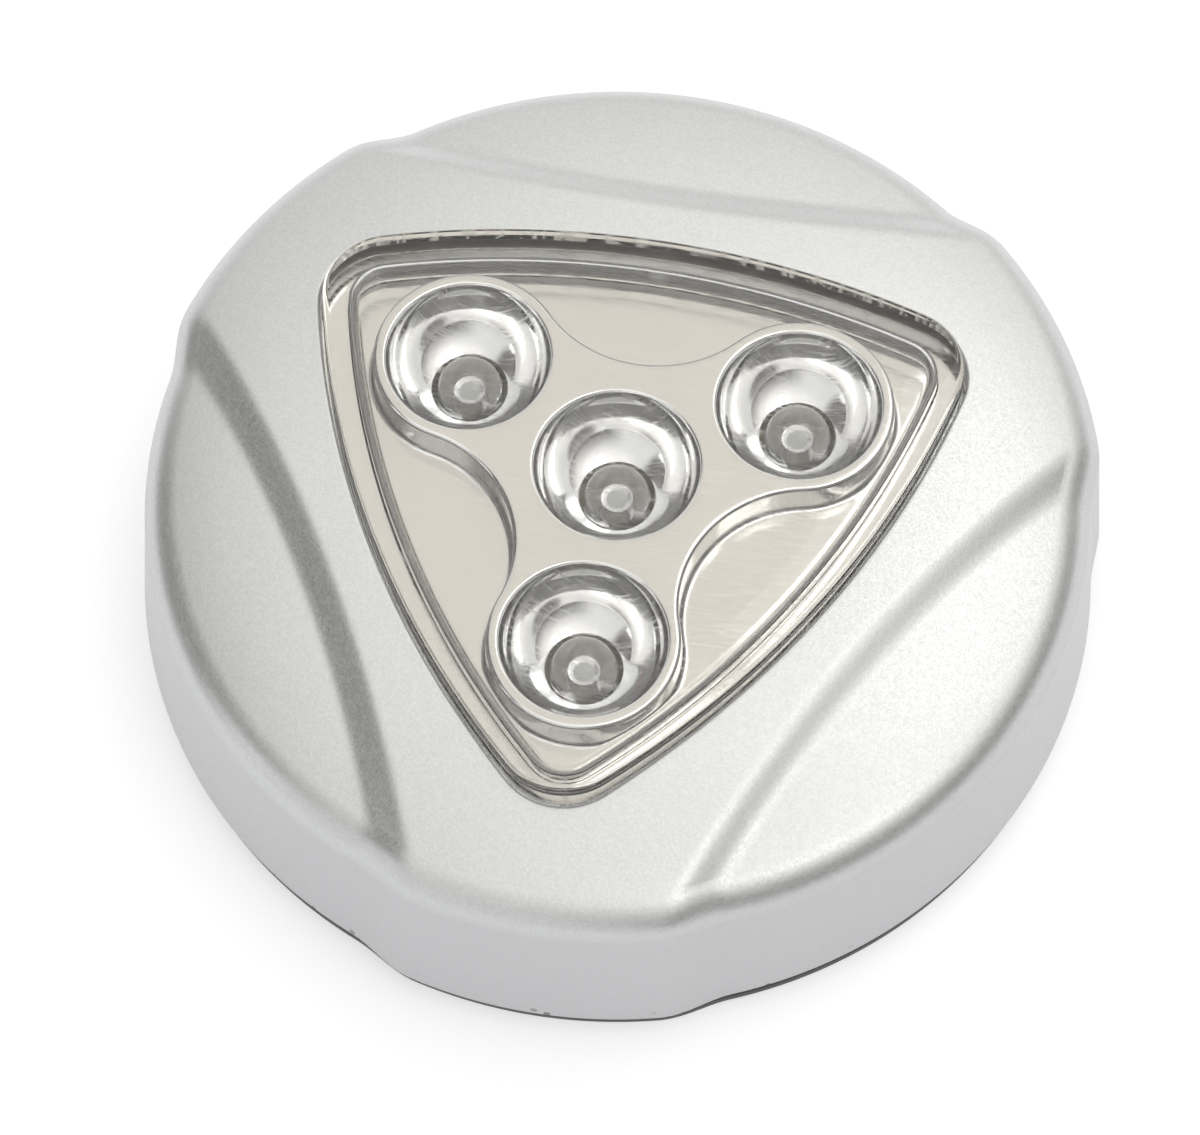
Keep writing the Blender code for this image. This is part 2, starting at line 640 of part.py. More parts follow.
def base_housing():
    """A tub open to the back: cell bays, a well for the board, three guide cups, bayonet ledges."""
    outline = lobed_outline(HOUSING_RADIUS, COVER_LOBE_RISE)
    housing = prism("base_housing", outline, HOUSING_LOW, HOUSING_TOP, BLACK)
    bay = lobed_outline(HOUSING_INNER, COVER_LOBE_RISE)
    cut(housing, prism("cell_bay", bay, HOUSING_LOW - OVERRUN, CEILING_LOW))
    in_ceiling = (CEILING_LOW + HOUSING_TOP) / 2
    add(housing, prism("well", straight_triangle(WELL_SIDE, WELL_CORNER), WELL_LOW, in_ceiling))
    guides = at_all(GUIDE_CIRCLE, SIDE_ANGLES)
    add(housing, cylinders("guide_cups", guides, GUIDE_OUTER, SHELF_LOW, in_ceiling, steps=ROUND_STEPS))
    add_contact_ribs(housing, in_ceiling)
    add_ledges(housing)
    hollow = straight_triangle(WELL_INNER, WELL_CORNER - WELL_WALL)
    cut(housing, prism("well_hollow", hollow, WELL_DEEP, HOUSING_TOP + OVERRUN))
    cup_room = CUP_LIP - PRESS_TRAVEL - RUN_GAP
    cut(housing, cylinders("cup_room", at_all(CUP_CIRCLE, LOBE_ANGLES), CUP_RADIUS, cup_room,
                           HOUSING_TOP + OVERRUN, steps=ROUND_STEPS))
    bosses = at_all(BOARD_SCREW_CIRCLE, LOBE_ANGLES)
    in_floor = (WELL_LOW + WELL_DEEP) / 2
    add(housing, cylinders("board_bosses", bosses, BOARD_BOSS_RADIUS, in_floor, BOARD_BOSS_TOP))
    cut(housing, cylinders("board_pilots", bosses, BOARD_SCREW_RADIUS + SEAT_GAP, in_floor,
                           BOARD_BOSS_TOP + OVERRUN))
    cut(housing, cylinders("guide_bores", guides, GUIDE_BORE, SHELF_TOP, HOUSING_TOP + OVERRUN,
                           steps=ROUND_STEPS))
    cut(housing, cylinders("shank_holes", guides, GUIDE_SHANK_RADIUS + RUN_GAP, SHELF_LOW - OVERRUN,
                           SHELF_TOP + OVERRUN))
    cut(housing, cylinders("stake_room", at_all(STAKE_CIRCLE, SIDE_ANGLES), STAKE_HEAD_RADIUS + RUN_GAP,
                           CEILING_LOW - OVERRUN, HOUSING_TOP + OVERRUN))
    notch = box("wire_notch", (NOTCH_REACH - WIRE_NOTCH_LENGTH, -WIRE_NOTCH_HALF_WIDTH, NOTCH_LOW),
                (NOTCH_REACH, WIRE_NOTCH_HALF_WIDTH, NOTCH_HIGH))
    cut(housing, turn(notch, LOBE_ANGLES[2]))
    return housing


def add_contact_ribs(housing, high):
    """A rib behind each contact, so that the cells' springs can push on it."""
    inner = CELL_OFFSET - CONTACT_HALF_WIDTH
    outer = CELL_OFFSET + CONTACT_HALF_WIDTH
    low = CELL_HEIGHT - CONTACT_HEIGHT / 2
    for number, angle in enumerate(SIDE_ANGLES, 1):
        for side, face in ((1, CONTACT_PLUS), (-1, CONTACT_MINUS)):
            near = side * (face + CONTACT_THICKNESS + SEAT_GAP)
            far = near + side * CONTACT_RIB
            rib = box(f"contact_rib_{number}", (inner, min(near, far), low), (outer, max(near, far), high))
            add(housing, turn(rib, angle))


def add_ledges(housing):
    in_wall = (HOUSING_INNER + HOUSING_RADIUS) / 2
    for number, angle in enumerate(SIDE_ANGLES, 1):
        ledge = sector_outline(LEDGE_RADIUS, in_wall, angle, LUG_HALF_ANGLE)
        half = STOP_ANGLE / 2
        beyond = angle + LUG_HALF_ANGLE + STOP_GAP_ANGLE + half
        stop = sector_outline(LEDGE_RADIUS, in_wall, beyond, half)
        add(housing, prism(f"ledge_{number}", ledge, HOUSING_LOW, HOUSING_LOW + LEDGE_THICKNESS))
        add(housing, prism(f"stop_{number}", stop, HOUSING_LOW, LUG_TOP))


# Cells and contacts

def cell_pose(made, angle):
    """Lays a piece that was built along Z into its cell bay, plus end first."""
    made.rotation_euler = (-math.pi / 2, 0, angle)
    made.location = (*at_angle(CELL_OFFSET, angle), CELL_HEIGHT)
    return made


def battery(number, angle):
    can_high = CELL_SHIFT + CELL_LENGTH / 2
    can_low = can_high - CELL_LENGTH
    nub_high = can_high + CELL_NUB
    edge = CELL_RADIUS - CELL_CRIMP
    profile = [(0, nub_high), (CELL_NUB_RADIUS, nub_high), (CELL_NUB_RADIUS, can_high), (edge, can_high),
               (CELL_RADIUS, can_high - CELL_CRIMP), (CELL_RADIUS, can_low + CELL_CRIMP), (edge, can_low),
               (0, can_low)]
    return cell_pose(turned(f"battery_{number}", profile, CELL_WRAP), angle)


def contact_spring(number, angle):
    """A tapered spring between a cell's minus end and its contact."""
    high = CELL_SHIFT - CELL_LENGTH / 2 - SEAT_GAP - CONTACT_WIRE_RADIUS
    low = SEAT_GAP + CONTACT_WIRE_RADIUS - CONTACT_MINUS
    made = coil(f"contact_spring_{number}", low, high, CONTACT_SPRING_WIDE, CONTACT_SPRING_NARROW,
                CONTACT_TURNS, CONTACT_WIRE_RADIUS, NICKEL)
    return cell_pose(made, angle)


def contact_ends(tab):
    """Both contacts in one lobe, seen from above, the lobe along +X: plus side, fold, minus side."""
    cos = math.cos(math.tau / 6)
    sin = math.sin(math.tau / 6)
    plus = CONTACT_PLUS + CONTACT_THICKNESS / 2
    minus = CONTACT_MINUS + CONTACT_THICKNESS / 2
    far = CELL_OFFSET + CONTACT_HALF_WIDTH
    near = CELL_OFFSET - CONTACT_HALF_WIDTH - tab
    plus_line = [(x * cos + plus * sin, plus * cos - x * sin) for x in (far, near)]
    minus_line = [(x * cos + minus * sin, x * sin - minus * cos) for x in (near, far)]
    fold = ((plus + minus) / (2 * sin), (plus - minus) / (2 * cos))
    return plus_line, fold, minus_line


def contact(name, line, angle):
    low = CELL_HEIGHT - CONTACT_HEIGHT / 2
    made = prism(name, strip_outline(line, CONTACT_THICKNESS), low, low + CONTACT_HEIGHT, NICKEL)
    return turn(made, angle)


def contacts():
    plus_line, fold, minus_line = contact_ends(0)
    link = [plus_line[0], fold, minus_line[1]]
    plus_tab, fold, minus_tab = contact_ends(TERMINAL_TAB)
    return [contact("contact_link_1", link, LOBE_ANGLES[0]),
            contact("contact_link_2", link, LOBE_ANGLES[1]),
            contact("terminal_positive", plus_tab, LOBE_ANGLES[2]),
            contact("terminal_negative", minus_tab, LOBE_ANGLES[2])]


# Board and what it carries

def lead_places():
    half = LED_LEAD_SPACING / 2
    return [(x + side * half, y) for x, y in cup_places() for side in (-1, 1)]


def resistor_places():
    half = RESISTOR_PITCH / 2
    return [(side * RESISTOR_X, end * half - RESISTOR_BACK) for side in (-1, 1) for end in (-1, 1)]


def wire_hole(side):
    """A wire's hole in the board, with the third lobe along +X."""
    return (WIRE_END, side * WIRE_END_SIDE)


def led_board():
    outline = straight_triangle(BOARD_SIDE, BOARD_CORNER)
    board = prism("led_board", outline, BOARD_LOW, BOARD_TOP, BOARD_PAPER)
    low = BOARD_LOW - OVERRUN
    high = BOARD_TOP + OVERRUN
    leads = lead_places() + resistor_places()
    cut(board, cylinders("lead_holes", leads, LEAD_HOLE_RADIUS, low, high, steps=HOLE_STEPS))
    screws = at_all(BOARD_SCREW_CIRCLE, LOBE_ANGLES)
    cut(board, cylinders("board_screw_holes", screws, BOARD_SCREW_RADIUS + RUN_GAP, low, high))
    ends = [wire_hole(-1), wire_hole(1)]
    holes = cylinders("wire_holes", ends, WIRE_HOLE_RADIUS, low, high, steps=HOLE_STEPS)
    cut(board, turn(holes, LOBE_ANGLES[2]))
    return board


def led(number, place):
    """A clear 5 mm LED with its two leads through the board."""
    hub = LED_LOW + LED_HEIGHT - LED_RADIUS
    dome = [(LED_RADIUS * math.sin(a), hub + LED_RADIUS * math.cos(a)) for a in DOME_ANGLES]
    flange = LED_LOW + LED_FLANGE
    profile = dome + [(LED_RADIUS, flange), (LED_FLANGE_RADIUS, flange), (LED_FLANGE_RADIUS, LED_LOW)]
    made = turned(f"led_{number}", profile + [(0, LED_LOW)], CLEAR_EPOXY, place, LED_STEPS)
    half = LED_LEAD / 2
    low = BOARD_LOW - LED_LEAD_TAIL
    high = LED_LOW + SINK
    for side in (-1, 1):
        middle = side * LED_LEAD_SPACING / 2
        lead = box(f"lead_{number}", (middle - half, -half, low), (middle + half, half, high))
        add(made, move(lead, place))
    return made


def resistor(number, side):
    """An axial resistor that lies along Y, its leads bent down through the board."""
    height = BOARD_TOP + RESISTOR_LIFT + RESISTOR_RADIUS
    half = RESISTOR_LENGTH / 2
    end = RESISTOR_PITCH / 2
    waist = RESISTOR_RADIUS * RESISTOR_WAIST_SHARE
    thin = RESISTOR_LEAD_RADIUS
    quarter = half / 2
    upper = [(0, end + thin), (thin, end + thin), (thin, half), (RESISTOR_RADIUS, half),
             (RESISTOR_RADIUS, quarter), (waist, quarter)]
    lower = [(radius, -along) for radius, along in upper[::-1]]
    made = turned(f"resistor_{number}", upper + lower, RESISTOR_BEIGE, steps=SMALL_STEPS)
    made.rotation_euler.x = -math.pi / 2
    made.location = (side * RESISTOR_X, -RESISTOR_BACK, height)
    legs = [(side * RESISTOR_X, way * end - RESISTOR_BACK) for way in (-1, 1)]
    low = BOARD_LOW - LED_LEAD_TAIL
    add(made, cylinders(f"resistor_legs_{number}", legs, RESISTOR_LEG_RADIUS, low, height))
    return made


def switch_body():
    half = SWITCH_SIZE / 2
    near = SWITCH_OFFSET - half
    far = SWITCH_OFFSET + half
    body = box("switch_body", (-half, near, SWITCH_LOW), (half, far, SWITCH_TOP), SWITCH_WHITE)
    low = SWITCH_TOP - SWITCH_PLUNGER_ROOT - PRESS_TRAVEL - RUN_GAP
    high = SWITCH_TOP + OVERRUN
    place = (0, SWITCH_OFFSET)
    cut(body, cylinders("plunger_hole", [place], SWITCH_PLUNGER_RADIUS + RUN_GAP, low, high))
    return body


def switch_plunger():
    low = SWITCH_TOP - SWITCH_PLUNGER_ROOT
    made = cylinders("switch_plunger", [(0, 0)], SWITCH_PLUNGER_RADIUS, low, PLUNGER_TOP, BLACK)
    return move(made, (0, SWITCH_OFFSET))


def cross_slot(name, size, low, high, place):
    half = SCREW_SLOT / 2
    slot = box(name, (-size, -half, low), (size, half, high))
    add(slot, move(box(name + "_across", (-half, -size, low), (half, size, high)), place))
    return move(slot, place)


def board_screw(number, angle):
    low = WELL_DEEP
    under = BOARD_TOP + SEAT_GAP
    top = under + BOARD_SCREW_HEAD
    place = at_angle(BOARD_SCREW_CIRCLE, angle)
    profile = [(0, top), (BOARD_SCREW_HEAD_RADIUS, top), (BOARD_SCREW_HEAD_RADIUS, under),
               (BOARD_SCREW_RADIUS, under), (BOARD_SCREW_RADIUS, low), (0, low)]
    made = turned(f"board_screw_{number}", profile, STEEL, place, steps=SMALL_STEPS)
    reach = BOARD_SCREW_HEAD_RADIUS * SLOT_LENGTH_SHARE
    slot_low = top - BOARD_SCREW_HEAD / 2
    cut(made, cross_slot(f"board_slot_{number}", reach, slot_low, top + OVERRUN, place))
    return made


def guide_screw(number, angle):
    """A shoulder screw up into the cover's boss; its head keeps the cover on."""
    place = at_angle(GUIDE_CIRCLE, angle)
    profile = [(0, GUIDE_SCREW_TOP), (GUIDE_SHANK_RADIUS, GUIDE_SCREW_TOP),
               (GUIDE_SHANK_RADIUS, GUIDE_HEAD_TOP), (GUIDE_HEAD_RADIUS, GUIDE_HEAD_TOP),
               (GUIDE_HEAD_RADIUS, GUIDE_HEAD_LOW), (0, GUIDE_HEAD_LOW)]
    made = turned(f"guide_screw_{number}", profile, STEEL, place, steps=SMALL_STEPS)
    reach = GUIDE_HEAD_RADIUS * SLOT_LENGTH_SHARE
    slot_low = GUIDE_HEAD_LOW - OVERRUN
    slot_high = GUIDE_HEAD_LOW + GUIDE_HEAD / 2
    cut(made, cross_slot(f"guide_slot_{number}", reach, slot_low, slot_high, place))
    return made


def return_spring(number, angle):
    radius = (GUIDE_BOSS_RADIUS + GUIDE_BORE) / 2
    low = SHELF_TOP + SEAT_GAP + SPRING_WIRE_RADIUS
    high = COLLAR_LOW - SEAT_GAP - SPRING_WIRE_RADIUS
    made = coil(f"return_spring_{number}", low, high, radius, radius, SPRING_TURNS,
                SPRING_WIRE_RADIUS, STEEL)
    return move(made, at_angle(GUIDE_CIRCLE, angle))


def wire(name, side, tab_end, look):
    """A wire from an end contact's tab, through the notch in the well, to its hole in the board."""
    start = (tab_end[0] - WIRE_START_GAP, tab_end[1], CELL_HEIGHT + CONTACT_HEIGHT / 2 + WIRE_START_LIFT)
    lane = side * WIRE_LANE
    height = (NOTCH_LOW + NOTCH_HIGH) / 2
    inside = (NOTCH_REACH - WIRE_NOTCH_LENGTH / 2, lane, height)
    end = (*wire_hole(side), BOARD_TOP + SEAT_GAP + WIRE_RADIUS / 2)
    points = [start, (NOTCH_REACH, lane, height)]
    for shares in WIRE_SHARES:
        points.append([here + (there - here) * share for here, there, share in zip(inside, end, shares)])
    return turn(tube(name, smooth_route(points, WIRE_STEPS), WIRE_RADIUS, look), LOBE_ANGLES[2])


# Front cover

def cover_height(x, y):
    """Height of the cover's face: a flat dome, one step lower on the three sides."""
    height = DOME_TOP - COVER_DROP * (math.hypot(x, y) / COVER_RIM) ** DOME_POWER
    end_across = STEP_END_RADIUS * math.sin(STEP_END_ANGLE)
    end_along = STEP_END_RADIUS * math.cos(STEP_END_ANGLE)
    sag = end_along - STEP_MIDDLE_RADIUS
    bow = (end_across ** 2 + sag ** 2) / (2 * sag)
    inside = -bow
    for angle in SIDE_ANGLES:
        hub_x, hub_y = at_angle(STEP_MIDDLE_RADIUS + bow, angle)
        inside = max(inside, bow - math.hypot(x - hub_x, y - hub_y))
    return height - STEP_DEPTH * smooth_step(inside / STEP_WIDTH + 1 / 2)


def cover_line(angle):
    """One line of the cover's skin, from the lens opening over the edge to the lower rim."""
    wall = lobed_radius(angle, COVER_SIDE_RADIUS, COVER_LOBE_RISE)
    slope = math.atan(COVER_DROP * DOME_POWER / COVER_RIM)
    start = lens_radius(angle, LENS_GAP - SINK)
    hub_radius = wall - COVER_DRAFT - COVER_FILLET
    end = hub_radius + COVER_FILLET * math.sin(slope)
    line = []
    for i in range(COVER_ROWS + 1):
        radius = start + (end - start) * i / COVER_ROWS
        line.append((radius, cover_height(*at_angle(radius, angle))))
    hub_height = line[-1][1] - COVER_FILLET * math.cos(slope)
    for i in range(1, FILLET_ROWS + 1):
        lean = slope + (math.pi / 2 - slope) * i / FILLET_ROWS
        line.append((hub_radius + COVER_FILLET * math.sin(lean), hub_height + COVER_FILLET * math.cos(lean)))
    line.append((wall, COVER_EDGE))
    return [(*at_angle(radius, angle), height) for radius, height in line]


def cover_skin():
    shape = bmesh.new()
    lines = []
    for angle in outline_angles():
        lines.append([shape.verts.new(p) for p in cover_line(angle)])
    for here, there in zip(lines, lines[1:] + lines[:1]):
        for j in range(len(here) - 1):
            shape.faces.new((here[j], here[j + 1], there[j + 1], there[j]))
    return from_bmesh("front_cover", shape, SILVER, open_skin=True)


def front_cover():
    """A skin given its thickness inwards, with guide bosses and reflector pins inside."""
    cover = cover_skin()
    shell = cover.modifiers.new("wall", "SOLIDIFY")
    shell.thickness = COVER_WALL
    shell.offset = -1
    shell.use_even_offset = True
    cut(cover, prism("lens_opening", lens_outline(LENS_GAP), LENS_LOW, DOME_TOP + OVERRUN))
    guides = at_all(GUIDE_CIRCLE, SIDE_ANGLES)
    stakes = at_all(STAKE_CIRCLE, SIDE_ANGLES)
    boss_top = cover_height(*guides[0]) - COVER_WALL / 2
    pin_top = cover_height(*stakes[0]) - COVER_WALL / 2
    add(cover, cylinders("guide_collars", guides, GUIDE_COLLAR_RADIUS, COLLAR_LOW, boss_top,
                         steps=ROUND_STEPS))
    add(cover, cylinders("guide_bosses", guides, GUIDE_BOSS_RADIUS, GUIDE_BOSS_LOW, boss_top - SINK))
    cut(cover, cylinders("boss_bores", guides, GUIDE_SHANK_RADIUS + SEAT_GAP, GUIDE_BOSS_LOW - OVERRUN,
                         GUIDE_SCREW_TOP + RUN_GAP))
    head_high = MIRROR_LOW - SEAT_GAP
    add(cover, cylinders("stakes", stakes, STAKE_RADIUS, head_high - STAKE_HEAD / 2, pin_top))
    add(cover, cylinders("stake_heads", stakes, STAKE_HEAD_RADIUS, head_high - STAKE_HEAD, head_high))
    return cover


# Lens and reflector

def lens():
    """A clear cap with a thick rim, on a flange that the cover holds down."""
    cap = prism("lens", lens_outline(0), LENS_LOW, LENS_HIGH, CLEAR, round_top=LENS_ROUND)
    flange_top = LENS_LOW + LENS_FLANGE_THICKNESS
    add(cap, prism("lens_flange", lens_outline(LENS_FLANGE), LENS_LOW, flange_top))
    cut(cap, prism("lens_hollow", lens_outline(-LENS_WALL), LENS_LOW - OVERRUN, LENS_UNDER))
    return cap


def bowl_curve(growth, top):
    """The bowl's half ellipse from a height down to the LED's hole, grown by a wall."""
    wide = CUP_RADIUS + growth
    deep = CUP_FALL + growth
    first = math.asin((PLATEAU_TOP - top) / deep)
    last = math.acos((CUP_HOLE + growth) / wide)
    angles = [first + (last - first) * i / BOWL_ROWS for i in range(BOWL_ROWS + 1)]
    return [(wide * math.cos(a), PLATEAU_TOP - deep * math.sin(a)) for a in angles]


def cup_places():
    return [(0, 0)] + at_all(CUP_CIRCLE, LOBE_ANGLES)


def reflector():
    """A thin plate with a raised trefoil and four bowls sunk into it."""
    plate = prism("reflector", lens_outline(MIRROR_MARGIN), MIRROR_LOW, ISLAND_TOP, CHROME)
    stakes = at_all(STAKE_CIRCLE, SIDE_ANGLES)
    in_plate = (MIRROR_LOW + ISLAND_TOP) / 2
    half = STAKE_EAR / 2
    add(plate, cylinders("mirror_ears", stakes, STAKE_EAR_RADIUS, in_plate - half, in_plate + half))
    add(plate, prism("trefoil", trefoil_outline(0), in_plate, PLATEAU_TOP))
    cut(plate, prism("trefoil_hollow", trefoil_outline(MIRROR_WALL), MIRROR_LOW - OVERRUN,
                     PLATEAU_TOP - MIRROR_WALL))
    in_top = PLATEAU_TOP - MIRROR_WALL / 2
    for number, place in enumerate(cup_places(), 1):
        shell = [(0, in_top)] + bowl_curve(MIRROR_WALL, in_top)
        shell += [(CUP_HOLE + MIRROR_WALL, CUP_LIP), (0, CUP_LIP)]
        add(plate, turned(f"cup_shell_{number}", shell, place=place))
    add(plate, cylinders("switch_post", [(0, SWITCH_OFFSET)], POST_RADIUS, POST_LOW, in_plate))
    for number, place in enumerate(cup_places(), 1):
        bowl = [(0, PLATEAU_TOP + OVERRUN), (CUP_RADIUS, PLATEAU_TOP + OVERRUN)] + bowl_curve(0, PLATEAU_TOP)
        bowl += [(CUP_HOLE, CUP_LIP - OVERRUN), (0, CUP_LIP - OVERRUN)]
        cut(plate, turn(turned(f"cup_bowl_{number}", bowl, place=place), math.pi / ROUND_STEPS))
    cut(plate, cylinders("stake_holes", stakes, STAKE_RADIUS + SEAT_GAP, MIRROR_LOW - OVERRUN,
                         ISLAND_TOP + OVERRUN))
    return plate


# Assembly: what moves together hangs on one empty on its joint's axis

def gather(name, pieces, parent=None, place=(0, 0, 0)):
    axis = bpy.data.objects.new(name, None)
    LIGHT.objects.link(axis)
    axis.location = place
    axis.parent = parent
    for piece in pieces:
        piece.location = piece.location - Vector(place)
        piece.parent = axis
        if piece.type == "MESH":
            piece.modifiers.new("shading", "NODES").node_group = SHADING
    return axis


def build():
    back = gather("back", [foam_pad(), base_plate()])
    inside = [base_housing(), led_board(), switch_body()]
    inside += contacts()
    inside += [resistor(1, -1), resistor(2, 1)]
    inside += [led(number, place) for number, place in enumerate(cup_places(), 1)]
    for number, angle in enumerate(SIDE_ANGLES, 1):
        inside += [battery(number, angle), contact_spring(number, angle), return_spring(number, angle)]
    for number, angle in enumerate(LOBE_ANGLES, 1):
        inside.append(board_screw(number, angle))
    plus_line, fold, minus_line = contact_ends(TERMINAL_TAB)
    inside.append(wire("wire_red", -1, plus_line[1], WIRE_RED))
    inside.append(wire("wire_black", 1, minus_line[0], WIRE_BLACK))
    twist = gather("twist_axis", inside, back)
    screws = [guide_screw(number, angle) for number, angle in enumerate(SIDE_ANGLES, 1)]
    gather("press_axis", [front_cover(), lens(), reflector()] + screws, twist)
    gather("plunger_axis", [switch_plunger()], twist, (0, SWITCH_OFFSET, 0))


clear_scene()
LIGHT = new_collection("cabinet_light")
TOOLS = new_collection("cutters")
SHADING = shading_by_angle()
SILVER = make_material("silver_paint", (0.62, 0.63, 0.61), 0.42, metallic=0.7)
CLEAR = make_material("clear_plastic", (0.95, 0.96, 0.96), 0.05, transmission=1)
CLEAR_EPOXY = make_material("clear_epoxy", (0.93, 0.93, 0.90), 0.06, transmission=1)
CHROME = make_material("chrome_plating", (0.80, 0.76, 0.70), 0.08, metallic=1)
DARK_GREY = make_material("dark_grey_plastic", (0.12, 0.12, 0.12), 0.5)
BLACK = make_material("black_plastic", (0.03, 0.03, 0.03), 0.5)
FOAM = make_material("white_foam", (0.75, 0.75, 0.72), 0.95)
CELL_WRAP = make_material("cell_wrap", (0.05, 0.12, 0.25), 0.35)
NICKEL = make_material("nickel_plating", (0.72, 0.70, 0.66), 0.25, metallic=1)
STEEL = make_material("zinc_steel", (0.65, 0.66, 0.68), 0.3, metallic=1)
BOARD_PAPER = make_material("board_paper", (0.74, 0.66, 0.42), 0.4)
RESISTOR_BEIGE = make_material("resistor_beige", (0.60, 0.48, 0.32), 0.45)
SWITCH_WHITE = make_material("switch_white", (0.80, 0.80, 0.78), 0.4)
WIRE_RED = make_material("wire_red", (0.55, 0.03, 0.03), 0.4)
WIRE_BLACK = make_material("wire_black", (0.02, 0.02, 0.02), 0.4)
build()
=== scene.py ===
"""Looks of the battery cabinet light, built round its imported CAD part.

The frame is the CAD's: the origin is on the light's axis on the back face, +Z points out of the
cabinet, towards the lens, and lengths are in metres.
"""

from math import acos, asin, atan, atan2, cos, hypot, pi, radians, sin, sqrt, tau

import bmesh
import bpy
from mathutils import Matrix, Vector
from mathutils.geometry import tessellate_polygon


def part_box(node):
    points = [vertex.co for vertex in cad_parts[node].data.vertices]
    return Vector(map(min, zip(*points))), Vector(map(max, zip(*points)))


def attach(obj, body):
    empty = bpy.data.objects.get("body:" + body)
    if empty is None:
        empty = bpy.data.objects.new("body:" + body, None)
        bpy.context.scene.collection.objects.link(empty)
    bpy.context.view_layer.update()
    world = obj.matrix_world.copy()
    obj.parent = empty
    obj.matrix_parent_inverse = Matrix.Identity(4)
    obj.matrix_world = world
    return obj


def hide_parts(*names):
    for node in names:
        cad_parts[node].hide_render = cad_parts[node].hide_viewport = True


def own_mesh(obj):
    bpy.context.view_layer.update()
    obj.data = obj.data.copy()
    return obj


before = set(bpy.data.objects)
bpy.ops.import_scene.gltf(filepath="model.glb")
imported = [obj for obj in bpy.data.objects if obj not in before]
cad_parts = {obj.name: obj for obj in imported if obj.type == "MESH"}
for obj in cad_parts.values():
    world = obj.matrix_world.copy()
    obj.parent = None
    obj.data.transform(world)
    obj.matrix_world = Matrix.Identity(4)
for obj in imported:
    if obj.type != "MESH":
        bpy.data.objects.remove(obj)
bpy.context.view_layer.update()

bl_info = {
    "name": "Cabinet light",
    "version": (1, 0, 0),
    "blender": (4, 5, 0),
    "location": "3D View > Sidebar > Cabinet light",
    "description": "Finished surfaces for a press-on battery cabinet light",
    "category": "Object",
}

MM = 0.001
THIRD = tau / 3
LOBE_ANGLES = [radians(a) for a in (30, 150, 270)]
SIDE_ANGLES = [radians(a) for a in (90, 210, 330)]

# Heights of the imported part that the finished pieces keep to
COVER_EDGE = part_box("front_cover")[0].z
LENS_LOW, LENS_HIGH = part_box("lens")[0].z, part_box("lens")[1].z
COVER_FACE = LENS_HIGH - 1.0 * MM
PLATEAU_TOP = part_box("reflector")[1].z
PLATE_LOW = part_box("base_plate")[0].z
LED_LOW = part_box("switch_body")[0].z

# Points round the axis or a bowl, and rows along each stretch of a section
ROUND_COUNT = 360
BOWL_COUNT = 120
FACE_ROWS = 56
FILLET_ROWS = 12
WALL_ROWS = 10
EDGE_ROWS = 5
CROWN_ROWS = 12
UNDER_ROWS = 6
BOWL_ROWS = 28
DISC_STEPS = 48
HOLLOW_STEPS = 24

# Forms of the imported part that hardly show, in millimetres; profiles are (radius, height) points
GUIDE_CIRCLE = 28.6
GUIDE_BOSS = [(3.2, 15.7), (2.2, 15.7), (2.2, 9.4), (1.25, 9.4), (1.25, 13.7), (0, 13.7)]
PIN_CIRCLE = 21.0
PIN = [(0.8, 15.15), (1.4, 15.15), (1.4, 14.6), (1.1, 14.45), (0, 14.45)]
PIN_EAR = [(0.95, 15.4), (2.1, 15.4), (2.1, 16.1), (0.95, 16.1)]
SWITCH_OFFSET = 8.6
SWITCH_POST = [(0, 15.7), (1.6, 15.7), (1.6, 14.6), (1.45, 14.45), (0, 14.45)]
CHIP_DISH = [(0, 0), (0.62, 0.35), (0.78, 0.35), (0.78, -0.5), (0.5, -1.0), (0, -1.0)]
CHIP = [(0, 0.34), (0.35, 0.3), (0.52, 0.31), (0.3, 0.2), (0, 0.05)]
# Inner and outer radius, half angle in degrees, low and high end of a lug's stem and lip
BAYONET_LUG = [(29.05, 30.25, 7, 1.4, 3.5), (29.65, 31.8, 8, 3.05, 4.0)]


# Sizes and colours that a user can change

def length(name, description, default):
    return bpy.props.FloatProperty(name=name, description=description, default=default * MM,
                                   min=0, precision=5, subtype="DISTANCE", unit="LENGTH")


def turn_angle(name, description, default):
    return bpy.props.FloatProperty(name=name, description=description, default=radians(default),
                                   subtype="ANGLE", unit="ROTATION")


def colour(name, description, default):
    return bpy.props.FloatVectorProperty(name=name, description=description, default=default,
                                         size=3, min=0, max=1, subtype="COLOR")


class CoverSizes(bpy.types.PropertyGroup):
    side_radius: length("Side radius", "Radius of the low sides at the lower edge", 36.5)
    lobe_rise: length("Lobe rise", "How far a lobe stands out past the low sides", 1.0)
    lobe_half: turn_angle("Lobe half angle", "Half the angle that a lobe spans", 18.8)
    lobe_blend: turn_angle("Lobe blend angle", "Angle over which a lobe fades into a side", 4.3)
    draft: length("Draft", "How far the wall leans in from its lower edge to its fillet", 1.0)
    fillet: length("Fillet", "Radius between the face and the wall", 3.3)
    drop: length("Drop", "How far the face falls from its middle to its rim", 1.9)
    dome_power: bpy.props.FloatProperty(name="Dome power", default=4.5, min=2,
                                        description="How late the face starts to fall")
    rim_radius: length("Rim radius", "Radius at which the face has fallen by its drop", 33.2)
    wall: length("Wall", "Thickness of the moulding", 1.5)
    step_depth: length("Step depth", "How deep the three low sides lie", 0.95)
    step_width: length("Step width", "Width of the slope down to a low side", 2.8)
    step_middle: length("Step middle", "Distance of a low side's edge from the axis", 23.8)
    step_end: length("Step end", "Distance at which the edge reaches the rim", 34.0)
    step_angle: turn_angle("Step end angle", "Half the angle that a low side spans", 41)
    edge_round: length("Edge round", "Radius along the lens opening and the lower edge", 0.25)


